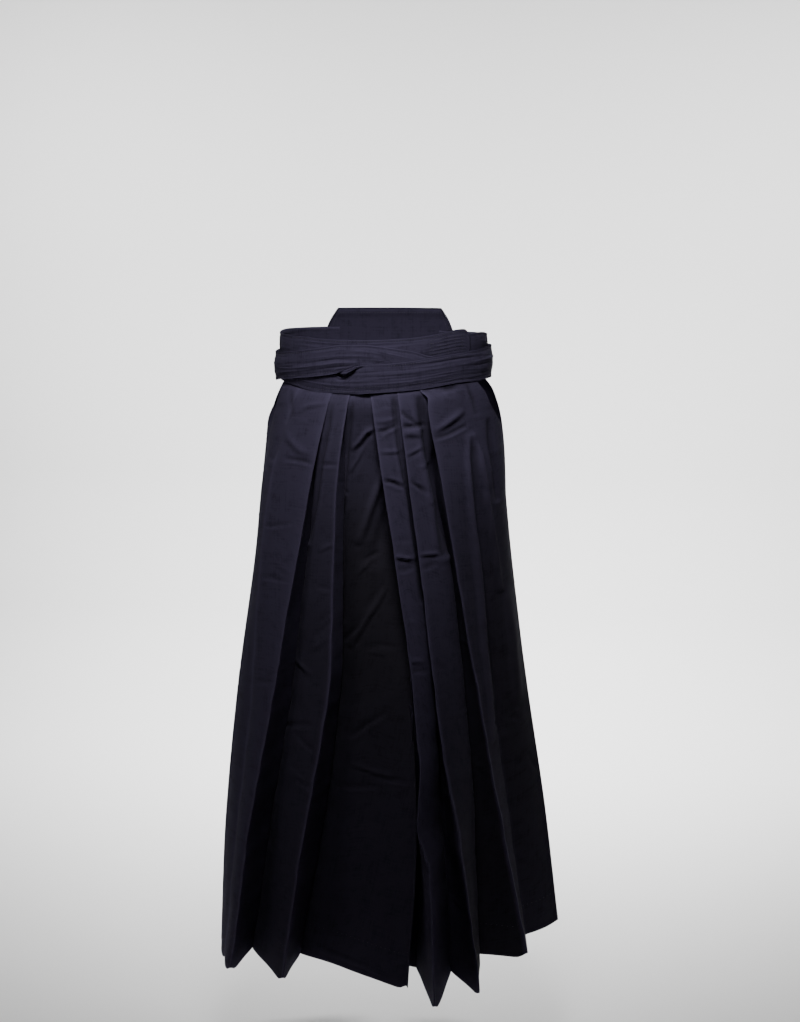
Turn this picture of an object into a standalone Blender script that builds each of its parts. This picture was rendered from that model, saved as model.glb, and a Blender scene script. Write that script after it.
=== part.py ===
"""Pleated hakama trousers, tied at the waist, in their worn hollow form.

The origin is the centre of the waist oval. The front faces -Y, the wearer's left is +X, up is +Z.
Every cloth piece is a grid of points, one row for each height and one column for each stretch
between folds, with the wall set out to both sides of it. Lengths are in metres.
"""
import math

import bmesh
import bpy
import numpy as np

for old in list(bpy.data.objects):
    bpy.data.objects.remove(old, do_unlink=True)

# Driving sizes
WAIST_HALF_WIDTH = 0.169
WAIST_HALF_DEPTH = 0.126
CLOTH = 0.0015
PLY_PITCH = 0.0025
TIE_THICKNESS = 0.0025
BAND_THICKNESS = 0.0022
BOARD_THICKNESS = 0.006
CLEARANCE = 0.0004
SEAM_GAP = 0.0010
GUSSET_GAP = 0.0008
TIES_TO_ROLL = 0.0034
MITRE_LIMIT = 0.64

# Depth of each layer's middle below the outermost tie surface
OUTER_TIE = TIE_THICKNESS / 2
INNER_TIE = OUTER_TIE + TIE_THICKNESS + CLEARANCE
BAND_LAYER = INNER_TIE + (TIE_THICKNESS + BAND_THICKNESS) / 2 + 0.0006
PANEL_LAYER = BAND_LAYER + (BAND_THICKNESS + CLOTH) / 2 + CLEARANCE
BOARD_LAYER = BAND_LAYER - (BAND_THICKNESS + BOARD_THICKNESS) / 2 - 0.0008

# Heights of the fold tables, and of the rows of the grids
FOLD_HEIGHTS = (-0.030, -0.160, -0.290, -0.510, -0.730, -0.945)
CROTCH = -0.510
HEM = -0.945
ROW_HEIGHTS = (
    0.036, 0.000, -0.030, -0.046, -0.063, -0.082, -0.104, -0.132, -0.168, -0.210, -0.250, -0.290,
    -0.340, -0.395, -0.450, CROTCH, -0.565, -0.620, -0.675, -0.730, -0.785, -0.840, -0.895, HEM)
BACK_TOP_ROW = 1
CROTCH_ROW = ROW_HEIGHTS.index(CROTCH)
HIP_WIDTH = 0.190
HIP_DEPTH = 0.140
FULLY_OPEN = 0.9

# Folds of the front of the right leg, from the side to the centre
# x at waist, hip, thigh, crotch, knee, hem; plies in; y at hip, thigh, crotch, knee, hem; hem height
RIGHT_FRONT = dict(
    outline=((-0.150, -0.181, -0.196, -0.228, -0.249, -0.258), 0.0,
             (-0.030, -0.040, -0.052, -0.064, -0.074), -0.935),
    crease=((-0.118, -0.160, -0.180, -0.197, -0.219, -0.242), 0.0,
            (-0.082, -0.092, -0.108, -0.122, -0.136), -0.942),
    first_edge=((-0.065, -0.094, -0.118, -0.158, -0.196, -0.224), 0.5,
                (-0.124, -0.133, -0.146, -0.158, -0.171), -0.946),
    first_valley=((-0.087, -0.093, -0.105, -0.134, -0.171, -0.205), 1.5,
                  (-0.112, -0.110, -0.104, -0.099, -0.095), -0.934),
    second_edge=((-0.038, -0.055, -0.061, -0.070, -0.108, -0.137), 2.5,
                 (-0.136, -0.147, -0.168, -0.186, -0.204), -0.946),
    second_valley=((-0.060, -0.047, -0.050, -0.056, -0.086, -0.124), 3.5,
                   (-0.121, -0.127, -0.126, -0.121, -0.114), -0.934),
    inner=((0.006, 0.018, 0.036, 0.060, 0.069, 0.057), 6.6,
           (-0.1225, -0.137, -0.184, -0.203, -0.216), -0.947),
)

# Folds of the front of the left leg, from the side to the centre, in the same columns
LEFT_FRONT = dict(
    crease=((0.124, 0.142, 0.153, 0.176, 0.207, 0.234), 0.0,
            (-0.090, -0.080, -0.064, -0.043, -0.022), -0.925),
    first_edge=((0.069, 0.097, 0.120, 0.158, 0.197, 0.236), 0.5,
                (-0.120, -0.122, -0.112, -0.097, -0.079), -0.942),
    first_valley=((0.091, 0.086, 0.107, 0.132, 0.147, 0.161), 1.5,
                  (-0.108, -0.106, -0.102, -0.096, -0.089), -0.935),
    second_edge=((0.031, 0.050, 0.069, 0.098, 0.136, 0.169), 2.5,
                 (-0.134, -0.149, -0.177, -0.203, -0.227), -0.950),
    second_valley=((0.053, 0.052, 0.067, 0.092, 0.107, 0.120), 3.5,
                   (-0.120, -0.132, -0.147, -0.150, -0.152), -0.940),
    third_edge=((-0.009, 0.0115, 0.033, 0.067, 0.085, 0.101), 4.5,
                (-0.138, -0.158, -0.199, -0.236, -0.268), -0.957),
    third_valley=((0.016, 0.028, 0.045, 0.074, 0.077, 0.080), 5.5,
                  (-0.122, -0.136, -0.172, -0.156, -0.141), -0.940),
    inner=((0.0070, 0.0190, 0.0370, 0.0612, 0.064, 0.068), 6.6,
           (-0.1225, -0.137, -0.184, -0.153, -0.134), -0.938),
)

# Folds of the back of one leg as on the left, from the side to the centre back
BACK = dict(
    corner=((0.090, 0.108, 0.122, 0.150, 0.176, 0.200), 0.0,
            (0.110, 0.118, 0.124, 0.128, 0.132), -0.902),
    edge=((0.010, 0.016, 0.022, 0.034, 0.046, 0.058), 0.5,
          (0.133, 0.143, 0.160, 0.174, 0.186), -0.898),
    valley=((0.046, 0.046, 0.049, 0.056, 0.066, 0.076), 1.5,
            (0.119, 0.125, 0.128, 0.131, 0.134), -0.900),
    inner=((0.0004, 0.0004, 0.0004, 0.0004, 0.019, 0.032), 2.0,
           (0.119, 0.124, 0.122, 0.124, 0.127), -0.902),
)

# Side seam of each leg at hip, thigh, crotch, knee and hem: x, y
SEAM_RIGHT = ((-0.186, 0.002), (-0.194, 0.010), (-0.223, 0.016), (-0.241, 0.018), (-0.250, 0.020))
SEAM_LEFT = ((0.190, 0.004), (0.199, 0.012), (0.229, 0.018), (0.262, 0.021), (0.288, 0.021))
SEAM_HEM = -0.915

# Side openings: height, angle of the front edge, angle of the back edge, half width of the hips
SIDE_EDGES = (
    (0.036, 60.0, 120.0, 0.1585),
    (0.000, 62.0, 114.0, 0.1585),
    (-0.027, 65.0, 106.0, 0.1605),
    (-0.042, 68.0, 102.0, 0.1670),
    (-0.061, 70.5, 99.0, 0.1735),
    (-0.083, 78.0, 96.0, 0.1790),
    (-0.104, 87.0, 94.5, 0.1825),
    (-0.132, 89.2, 93.0, 0.1860),
    (-0.168, 89.4, 91.2, 0.1885),
    (-0.210, 89.4, 90.6, 0.1905),
)
SLIT_FOOT = -0.210
# Depth of those edges at the waist, and how much they gain with the drop, in front and behind
EDGE_DEPTH = 0.118
FRONT_GAIN = 0.10
BACK_GAIN = 0.06
RIGHT_HIP_SHARE = 0.978

# Line where the two inner leg pieces meet: x, y at the front, three stations between, the back
CROTCH_LINE = ((0.0580, -0.178), (0.044, -0.110), (0.028, -0.040), (0.012, 0.040), (0.000, 0.117))
# The same stations at knee and hem
RIGHT_GUSSET_KNEE = ((0.066, -0.199), (0.036, -0.120), (0.006, -0.040), (-0.012, 0.040), (-0.018, 0.119))
RIGHT_GUSSET_HEM = ((0.053, -0.211), (0.026, -0.125), (-0.006, -0.040), (-0.026, 0.040), (-0.031, 0.122))
LEFT_GUSSET_KNEE = ((0.063, -0.149), (0.055, -0.090), (0.040, -0.030), (0.026, 0.045), (0.018, 0.119))
LEFT_GUSSET_HEM = ((0.067, -0.131), (0.060, -0.075), (0.048, -0.020), (0.038, 0.050), (0.031, 0.122))
GUSSET_HEMS = (-0.944, -0.935, -0.925, -0.912, -0.904)

# Ties: angle from the front, lower edge, upper edge, depth of the layer
RIGHT_TIE = (
    (-133.6, -0.026, 0.024, OUTER_TIE), (-108.0, -0.027, 0.020, OUTER_TIE),
    (-84.0, -0.0275, 0.017, OUTER_TIE), (-64.0, -0.024, 0.0185, OUTER_TIE),
    (-45.0, -0.0195, 0.0232, OUTER_TIE), (-29.0, -0.0145, 0.0289, OUTER_TIE),
    (-17.0, -0.0110, 0.0328, OUTER_TIE), (-11.0, 0.0030, 0.0334, OUTER_TIE),
    (-6.5, 0.0082, 0.0334, OUTER_TIE), (6.0, 0.0070, 0.0295, INNER_TIE),
    (12.0, -0.0080, 0.0270, INNER_TIE), (20.0, -0.0150, 0.0235, INNER_TIE),
    (29.0, -0.0180, 0.0162, INNER_TIE), (44.0, -0.0200, 0.0140, INNER_TIE),
    (60.0, -0.0180, 0.0140, INNER_TIE))
LEFT_TIE = (
    (133.6, -0.024, 0.026, OUTER_TIE), (108.0, -0.023, 0.0275, OUTER_TIE),
    (84.0, -0.023, 0.0276, OUTER_TIE), (64.0, -0.0245, 0.0240, OUTER_TIE),
    (46.0, -0.0262, 0.0195, OUTER_TIE), (29.0, -0.0322, 0.0139, OUTER_TIE),
    (18.0, -0.0355, 0.0090, OUTER_TIE), (6.0, -0.0385, 0.0056, OUTER_TIE),
    (-6.5, -0.0418, 0.0074, INNER_TIE), (-21.0, -0.0417, 0.0060, INNER_TIE),
    (-34.0, -0.0401, 0.0040, INNER_TIE), (-52.0, -0.0330, 0.0030, INNER_TIE),
    (-68.0, -0.0275, 0.0030, INNER_TIE), (-78.0, -0.0235, 0.0030, INNER_TIE))
FRONT_BAND = (
    (-58.0, -0.004, 0.0446, BAND_LAYER), (-45.0, -0.005, 0.0440, BAND_LAYER),
    (-29.0, -0.006, 0.0412, BAND_LAYER), (-11.0, -0.006, 0.0405, BAND_LAYER),
    (4.0, -0.006, 0.0414, BAND_LAYER), (20.0, -0.005, 0.0442, BAND_LAYER),
    (33.0, -0.002, 0.0486, BAND_LAYER), (43.0, 0.001, 0.0532, BAND_LAYER),
    (52.0, 0.003, 0.0552, BAND_LAYER), (55.5, 0.0035, 0.0535, BAND_LAYER),
    (58.0, 0.004, 0.0470, BAND_LAYER))
RIGHT_FIRST_PASS = (
    (-58.6, 0.001, 0.0440, BAND_LAYER), (-80.0, 0.003, 0.0465, BAND_LAYER),
    (-110.0, 0.004, 0.0500, BAND_LAYER), (-150.0, 0.004, 0.0500, BAND_LAYER))
LEFT_FIRST_PASS = (
    (58.6, 0.006, 0.0480, BAND_LAYER), (72.0, 0.009, 0.0490, BAND_LAYER),
    (90.0, 0.008, 0.0455, BAND_LAYER), (115.0, 0.005, 0.0440, BAND_LAYER),
    (150.0, 0.000, 0.0440, BAND_LAYER))

# Back board: height, half angle it spans, how far it leans in
BOARD_ROWS = ((-0.012, 46.0, 0.0), (0.012, 42.6, 0.0), (0.036, 39.0, 0.0), (0.060, 35.0, 0.0),
              (0.080, 30.5, 0.0020))

# Small roll between the ties: angle, height, radius
TWIST = ((-16.4, -0.0146, 0.0014), (-15.0, -0.0120, 0.0030), (-12.5, -0.0062, 0.0034),
         (-10.0, -0.0010, 0.0032), (-8.0, 0.0020, 0.0028), (-6.8, 0.0036, 0.0012))


def material(name, colour, roughness=0.85):
    """Plain dyed cloth."""
    made = bpy.data.materials.new(name)
    made.use_nodes = True
    shader = made.node_tree.nodes["Principled BSDF"]
    shader.inputs["Base Color"].default_value = (*colour, 1.0)
    shader.inputs["Roughness"].default_value = roughness
    return made


def smooth(xs, ys, x):
    """Value at x of a smooth curve through the points, flat past both ends."""
    if x <= xs[0]:
        return ys[0]
    if x >= xs[-1]:
        return ys[-1]
    k = next(i for i in range(len(xs) - 1) if x <= xs[i + 1])
    steps = [(ys[i + 1] - ys[i]) / (xs[i + 1] - xs[i]) for i in range(len(xs) - 1)]

    def slope(i):
        before, after = steps[max(i - 1, 0)], steps[min(i, len(steps) - 1)]
        return 0.0 if before * after <= 0 else (before + after) / 2

    width = xs[k + 1] - xs[k]
    t = (x - xs[k]) / width
    return ((2 * t**3 - 3 * t**2 + 1) * ys[k] + (t**3 - 2 * t**2 + t) * width * slope(k)
            + (3 * t**2 - 2 * t**3) * ys[k + 1] + (t**3 - t**2) * width * slope(k + 1))


def waist_point(angle, depth):
    """Point of the waist oval, by the angle from the front and the depth below its surface."""
    turn = math.radians(angle)
    return np.array(((WAIST_HALF_WIDTH - depth) * math.sin(turn),
                     -(WAIST_HALF_DEPTH - depth) * math.cos(turn)))


def fold_point(line, z):
    """Plan point of one fold of the tables at height z."""
    xs, plies, ys, hem = line
    depth = PANEL_LAYER + plies * PLY_PITCH
    side = math.copysign(1.0, ys[0])
    reach = xs[0] / (WAIST_HALF_WIDTH - depth)
    waist_y = side * (WAIST_HALF_DEPTH - depth) * math.sqrt(max(0.0, 1 - reach * reach))
    heights = [-h for h in FOLD_HEIGHTS]
    return np.array((smooth(heights, xs, -z), smooth(heights, (waist_y,) + tuple(ys), -z)))


def side_point(seam, z, edge):
    """Plan point of the side edge: the open slanted edge above, the seam below its foot."""
    way = math.copysign(1.0, seam[0][0])
    heights = [-row[0] for row in SIDE_EDGES]
    if z >= SLIT_FOOT:
        angle = math.radians(smooth(heights, [row[edge] for row in SIDE_EDGES], -z))
        width = smooth(heights, [row[3] for row in SIDE_EDGES], -z)
        width *= 1.0 if way > 0 else RIGHT_HIP_SHARE
        depth = EDGE_DEPTH - (FRONT_GAIN if edge == 1 else BACK_GAIN) * z
        return np.array((way * width * math.sin(angle), -depth * math.cos(angle)))
    foot = side_point(seam, SLIT_FOOT, edge)
    lengths = [-SLIT_FOOT] + [-h for h in FOLD_HEIGHTS[2:]]
    shift = 0.0 if edge == 1 else SEAM_GAP
    xs = [foot[0]] + [p[0] for p in seam[1:]]
    ys = [foot[1]] + [p[1] + shift for p in seam[1:]]
    return np.array((smooth(lengths, xs, -z), smooth(lengths, ys, -z)))


def row_height(row, hem):
    """Height of a row in a column that ends at its own hem height."""
    z = ROW_HEIGHTS[row]
    if z >= CROTCH:
        return z
    return CROTCH + (z - CROTCH) * (hem - CROTCH) / (HEM - CROTCH)


def unit(vector):
    return vector / max(np.linalg.norm(vector), 1e-9)


def around(start, end, share):
    """Point part of the way from start to end, following the round of the hips."""
    def polar(p):
        return (math.atan2(p[0] / HIP_WIDTH, -p[1] / HIP_DEPTH),
                math.hypot(p[0] / HIP_WIDTH, p[1] / HIP_DEPTH))
    (a0, r0), (a1, r1) = polar(start), polar(end)
    if a1 - a0 > math.pi:
        a1 -= 2 * math.pi
    if a0 - a1 > math.pi:
        a1 += 2 * math.pi
    angle, radius = a0 + (a1 - a0) * share, r0 + (r1 - r0) * share
    return np.array((HIP_WIDTH * radius * math.sin(angle), -HIP_DEPTH * radius * math.cos(angle)))


def fold_corners(before, tip, after):
    """The two corners of a fold, one ply apart, on the sides of the plies they belong to."""
    outward = unit(unit(tip - before) + unit(tip - after))
    across = np.array((-outward[1], outward[0]))
    if np.dot(across, before - after) < 0:
        across = -across
    return tip + across * PLY_PITCH / 2, tip - across * PLY_PITCH / 2


def panel_grid(stations, first_row=0):
    """Rows of points for a pleated panel.

    A station is (kind, line or point function, hem height, columns up to the next station, belly).
    """
    grid = []
    for row in range(first_row, len(ROW_HEIGHTS)):
        tips = []
        for kind, place, hem, between, belly in stations:
            z = row_height(row, hem)
            tips.append((place(z) if callable(place) else fold_point(place, z), z))
        corners = []
        for i, (kind, place, hem, between, belly) in enumerate(stations):
            if kind == "fold":
                corners.append(fold_corners(tips[i - 1][0], tips[i][0], tips[i + 1][0]))
            else:
                corners.append((tips[i][0],))
        points = []
        opened = min(1.0, max(0.0, -ROW_HEIGHTS[row] / FULLY_OPEN))
        for i, (kind, place, hem, between, belly) in enumerate(stations):
            points += [(*c, tips[i][1]) for c in corners[i]]
            if i + 1 == len(stations):
                break
            start, end = corners[i][-1], corners[i + 1][0]
            for k in range(between):
                share = (k + 1) / (between + 1)
                straight = start + (end - start) * share
                plan = around(start, end, share)
                plan = plan + (straight - plan) * opened ** 2
                plan = plan + unit(plan) * belly * opened * math.sin(math.pi * share)
                points.append((*plan, tips[i][1] + (tips[i + 1][1] - tips[i][1]) * share))
        grid.append(points)
    return np.array(grid)


def plan_normals(line):
    """Level normals of one row, longer at corners so that the wall keeps its thickness."""
    steps = np.diff(line[:, :2], axis=0)
    steps /= np.maximum(np.linalg.norm(steps, axis=1, keepdims=True), 1e-9)
    sides = np.stack((-steps[:, 1], steps[:, 0]), axis=1)
    normals = np.empty((len(line), 2))
    normals[0], normals[-1] = sides[0], sides[-1]
    for i in range(1, len(line) - 1):
        middle = unit(sides[i - 1] + sides[i])
        normals[i] = middle / max(MITRE_LIMIT, float(np.dot(middle, sides[i])))
    return normals


def sheet_solid(name, grid, thickness, colour):
    """Closed wall of the given thickness about a grid of points."""
    rows, columns = grid.shape[:2]
    offsets = np.zeros_like(grid)
    for r in range(rows):
        offsets[r, :, :2] = plan_normals(grid[r]) * thickness / 2
    mesh = bmesh.new()
    skins = [[[mesh.verts.new(p) for p in line] for line in grid + way * offsets] for way in (1, -1)]
    for way, skin in enumerate(skins):
        for r in range(rows - 1):
            for c in range(columns - 1):
                a, b = skin[r][c], skin[r][c + 1]
                d, e = skin[r + 1][c], skin[r + 1][c + 1]
                for three in ((a, b, e), (a, e, d)):
                    mesh.faces.new(three if way else three[::-1])
    near, far = skins
    rim = [(r, 0) for r in range(rows)] + [(rows - 1, c) for c in range(1, columns)]
    rim += [(r, columns - 1) for r in range(rows - 2, -1, -1)]
    rim += [(0, c) for c in range(columns - 2, -1, -1)]
    for (r0, c0), (r1, c1) in zip(rim, rim[1:]):
        mesh.faces.new((near[r0][c0], far[r0][c0], far[r1][c1]))
        mesh.faces.new((near[r0][c0], far[r1][c1], near[r1][c1]))
    return finish_object(name, mesh, colour)


def finish_object(name, mesh, colour):
    bmesh.ops.recalc_face_normals(mesh, faces=mesh.faces)
    data = bpy.data.meshes.new(name)
    mesh.to_mesh(data)
    mesh.free()
    made = bpy.data.objects.new(name, data)
    bpy.context.scene.collection.objects.link(made)
    data.materials.append(material(name + "_cloth", colour))
    return made


def band_grid(table, columns, rows):
    """Points of a strip laid round the waist oval, from its table of edges."""
    table = sorted(table)
    angles = [row[0] for row in table]
    grid = np.empty((rows, columns, 3))
    for c in range(columns):
        angle = angles[0] + (angles[-1] - angles[0]) * c / (columns - 1)
        low, high, depth = (smooth(angles, [row[k] for row in table], angle) for k in (1, 2, 3))
        for r in range(rows):
            grid[r, c, :2] = waist_point(angle, depth)
            grid[r, c, 2] = high + (low - high) * r / (rows - 1)
    return grid


def seated(panel, row, way):
    """Where a piece running along way starts, close behind the inner edge of a panel's row."""
    before, edge = panel[row][-2][:2], panel[row][-1][:2]
    along = unit(edge - before)
    inward = np.array((-along[1], along[0]))
    if np.dot(inward, way) < 0:
        inward = -inward
    reach = CLOTH / 2 * (1 + abs(np.dot(along, way))) + GUSSET_GAP
    return edge - along * CLOTH * 0.6 + inward * reach


def gusset_grid(knee, hem_line, side, front, back):
    """Rows of points for an inner leg piece, from the crotch line down to the hem.

    Below the crotch line its ends follow the inner edges of the front and back panels.
    """
    crotch = np.array(CROTCH_LINE)
    steps = np.gradient(crotch, axis=0)
    out = np.stack((steps[:, 1], -steps[:, 0]), axis=1)
    out /= np.linalg.norm(out, axis=1, keepdims=True)
    crotch = crotch + out * side * (CLOTH + CLEARANCE) / 2
    heights = (-CROTCH, -FOLD_HEIGHTS[4], -HEM)
    grid = []
    for row in range(CROTCH_ROW, len(ROW_HEIGHTS)):
        points = []
        for c in range(2 * len(crotch) - 1):
            i, j = c // 2, (c + 1) // 2
            hem = (GUSSET_HEMS[i] + GUSSET_HEMS[j]) / 2
            z = row_height(row, hem)
            plan = [(np.array(line[i]) + np.array(line[j])) / 2 for line in (crotch, knee, hem_line)]
            points.append((smooth(heights, [p[0] for p in plan], -ROW_HEIGHTS[row]),
                           smooth(heights, [p[1] for p in plan], -ROW_HEIGHTS[row]), z))
        points = np.array(points)
        if row > CROTCH_ROW:
            for end, panel, start in ((0, front, 0), (-1, back, BACK_TOP_ROW)):
                way = unit(points[2 if end == 0 else -3][:2] - points[end][:2])
                old = points[end][:2].copy()
                points[end][:2] = seated(panel, row - start, way)
                near = 1 if end == 0 else -2
                points[near][:2] += (points[end][:2] - old) * 0.5
        grid.append(points)
    return np.array(grid)


def mirrored(line):
    xs, plies, ys, hem = line
    return (tuple(-x for x in xs), plies, ys, hem)


# Front panels
DARK = (0.018, 0.018, 0.032)
LIGHT = (0.028, 0.028, 0.048)

fold = RIGHT_FRONT
front_right = [
    ("edge", lambda z: side_point(SEAM_RIGHT, z, 1), SEAM_HEM, 1, 0.0),
    ("point", fold["outline"], fold["outline"][3], 1, 0.0),
    ("point", fold["crease"], fold["crease"][3], 1, 0.002),
    ("fold", fold["first_edge"], fold["first_edge"][3], 1, 0.0),
    ("fold", fold["first_valley"], fold["first_valley"][3], 2, 0.003),
    ("fold", fold["second_edge"], fold["second_edge"][3], 1, 0.0),
    ("fold", fold["second_valley"], fold["second_valley"][3], 4, 0.004),
    ("edge", fold["inner"], fold["inner"][3], 0, 0.0),
]
front_right_grid = panel_grid(front_right)
sheet_solid("front_panel_right", front_right_grid, CLOTH, DARK)

fold = LEFT_FRONT
front_left = [
    ("edge", lambda z: side_point(SEAM_LEFT, z, 1), SEAM_HEM, 2, 0.004),
    ("point", fold["crease"], fold["crease"][3], 1, 0.0),
    ("fold", fold["first_edge"], fold["first_edge"][3], 1, 0.0),
    ("fold", fold["first_valley"], fold["first_valley"][3], 2, 0.002),
    ("fold", fold["second_edge"], fold["second_edge"][3], 1, 0.0),
    ("fold", fold["second_valley"], fold["second_valley"][3], 2, 0.002),
    ("fold", fold["third_edge"], fold["third_edge"][3], 1, 0.0),
    ("fold", fold["third_valley"], fold["third_valley"][3], 0, 0.0),
    ("edge", fold["inner"], fold["inner"][3], 0, 0.0),
]
front_left_grid = panel_grid(front_left)
sheet_solid("front_panel_left", front_left_grid, CLOTH, DARK)

# Back panels
back_grids = {}
for name, seam, turn in (("back_panel_right", SEAM_RIGHT, mirrored),
                         ("back_panel_left", SEAM_LEFT, lambda line: line)):
    lines = {key: turn(line) for key, line in BACK.items()}
    stations = [
        ("edge", lambda z, seam=seam: side_point(seam, z, 2), SEAM_HEM, 2, 0.006),
        ("point", lines["corner"], lines["corner"][3], 3, 0.004),
        ("fold", lines["edge"], lines["edge"][3], 1, 0.0),
        ("fold", lines["valley"], lines["valley"][3], 1, 0.0),
        ("edge", lines["inner"], lines["inner"][3], 0, 0.0),
    ]
    back_grids[name] = panel_grid(stations, BACK_TOP_ROW)
    sheet_solid(name, back_grids[name], CLOTH, DARK)

# Inner leg pieces
right_gusset = gusset_grid(RIGHT_GUSSET_KNEE, RIGHT_GUSSET_HEM, -1, front_right_grid,
                           back_grids["back_panel_right"])
left_gusset = gusset_grid(LEFT_GUSSET_KNEE, LEFT_GUSSET_HEM, 1, front_left_grid,
                          back_grids["back_panel_left"])
sheet_solid("gusset_right", right_gusset, CLOTH, DARK)
sheet_solid("gusset_left", left_gusset, CLOTH, DARK)

# Band and ties
sheet_solid("front_waistband", band_grid(FRONT_BAND, 25, 3), BAND_THICKNESS, LIGHT)
sheet_solid("front_tie_right", band_grid(RIGHT_FIRST_PASS, 17, 2), BAND_THICKNESS, LIGHT)
sheet_solid("front_tie_left", band_grid(LEFT_FIRST_PASS, 17, 2), BAND_THICKNESS, LIGHT)
sheet_solid("back_tie_right", band_grid(RIGHT_TIE, 46, 3), TIE_THICKNESS, LIGHT)
sheet_solid("back_tie_left", band_grid(LEFT_TIE, 48, 3), TIE_THICKNESS, LIGHT)

# Board at the back waist
board = np.empty((len(BOARD_ROWS), 17, 3))
for r, (z, half_angle, lean) in enumerate(reversed(BOARD_ROWS)):
    for c in range(17):
        angle = 180 - half_angle + 2 * half_angle * c / 16
        board[r, c, :2] = waist_point(angle, BOARD_LAYER + lean)
        board[r, c, 2] = z
sheet_solid("koshi_board", board, BOARD_THICKNESS, LIGHT)

# Small roll where the ties pass each other
ROLL_SIDES = 8
roll = bmesh.new()
rings = []
for angle, z, radius in TWIST:
    depth = INNER_TIE - TIE_THICKNESS / 2 - CLEARANCE - TIES_TO_ROLL
    centre = waist_point(angle, depth)
    outward = unit(centre)
    ring = []
    for k in range(ROLL_SIDES):
        turn = 2 * math.pi * (k + 0.5) / ROLL_SIDES
        plan = centre + outward * radius * math.cos(turn)
        ring.append(roll.verts.new((*plan, z + radius * math.sin(turn))))
    rings.append(ring)
for low, high in zip(rings, rings[1:]):
    for k in range(ROLL_SIDES):
        m = (k + 1) % ROLL_SIDES
        roll.faces.new((low[k], low[m], high[m]))
        roll.faces.new((low[k], high[m], high[k]))
for ring in (rings[0], rings[-1]):
    for k in range(1, ROLL_SIDES - 1):
        roll.faces.new((ring[0], ring[k], ring[k + 1]))
finish_object("tie_twist", roll, LIGHT)
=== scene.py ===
# %% [markdown]
# Pleated hakama trousers, tied at the waist.
# A real pair is cut from wide panels of matte navy cloth, pressed into deep front pleats, and
# held by a stiff band and long ties. Each piece is rebuilt here as a thin fine shell on the form
# of its solid, because cloth this thin reads by its folds. Lengths are in metres.

import math

import bpy
import numpy as np
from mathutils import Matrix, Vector


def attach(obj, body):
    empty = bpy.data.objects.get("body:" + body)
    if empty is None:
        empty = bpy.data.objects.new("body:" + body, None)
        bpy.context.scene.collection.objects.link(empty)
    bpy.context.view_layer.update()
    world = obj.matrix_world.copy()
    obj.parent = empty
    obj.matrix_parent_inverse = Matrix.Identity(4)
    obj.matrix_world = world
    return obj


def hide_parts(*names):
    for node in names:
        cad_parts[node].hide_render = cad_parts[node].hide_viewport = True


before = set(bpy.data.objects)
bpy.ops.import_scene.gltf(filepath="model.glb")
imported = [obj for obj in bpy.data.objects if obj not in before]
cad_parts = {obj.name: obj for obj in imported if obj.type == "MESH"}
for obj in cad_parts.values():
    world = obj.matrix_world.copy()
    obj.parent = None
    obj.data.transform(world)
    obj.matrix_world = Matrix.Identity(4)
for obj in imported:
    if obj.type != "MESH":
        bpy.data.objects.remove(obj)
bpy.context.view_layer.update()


# %% [markdown]
# The garment is seen from about 3 m, a little above the waist, looking slightly down and from
# 5 degrees to one side. The camera comes first, so that every fold can be judged from there.

# %% Camera
LENS = 67.1
SENSOR_WIDTH = 36.0
CAMERA_PLACE = (0.2874, -2.9863, 0.20)
CAMERA_WAY = (-0.0862, 0.9858, -0.1444)
camera_data = bpy.data.cameras.new("camera")
camera_data.lens = LENS
camera_data.sensor_width = SENSOR_WIDTH
camera = bpy.data.objects.new("camera", camera_data)
bpy.context.scene.collection.objects.link(camera)
camera.location = CAMERA_PLACE
camera.rotation_euler = Vector(CAMERA_WAY).to_track_quat("-Z", "Y").to_euler()
bpy.context.scene.camera = camera
print("camera", tuple(round(v, 3) for v in camera.location))

# %% [markdown]
# A plain pale floor with a curved rise behind it. It lies a little below the hem, since the
# garment is held at the waist and doesn't stand.

# %% Floor
FLOOR_Z = -1.12
FLOOR_HALF_WIDTH = 6.0
FLOOR_PROFILE = ((-4.0, 0.0), (1.6, 0.0), (2.1, 0.05), (2.5, 0.22), (2.75, 0.6), (2.8, 1.2), (2.8, 5.0))
PAPER_WHITE = (0.86, 0.86, 0.86, 1)
floor_mesh = bpy.data.meshes.new("floor")
floor_mesh.from_pydata(
    [(side * FLOOR_HALF_WIDTH, y, FLOOR_Z + z) for y, z in FLOOR_PROFILE for side in (-1, 1)], [],
    [(2 * i, 2 * i + 1, 2 * i + 3, 2 * i + 2) for i in range(len(FLOOR_PROFILE) - 1)])
for face in floor_mesh.polygons:
    face.use_smooth = True
floor = bpy.data.objects.new("floor", floor_mesh)
bpy.context.scene.collection.objects.link(floor)
paper = bpy.data.materials.new("paper")
paper.use_nodes = True
paper_shader = paper.node_tree.nodes["Principled BSDF"]
paper_shader.inputs["Base Color"].default_value = PAPER_WHITE
paper_shader.inputs["Roughness"].default_value = 0.9
floor_mesh.materials.append(paper)
print("floor at", FLOOR_Z)

# %% [markdown]
# One soft light stands high and close in front, so the waist is bright, the hem sinks into shade
# and every crease across the cloth shows. Weak lights touch both sides, and three more whiten the
# paper behind.

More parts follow.
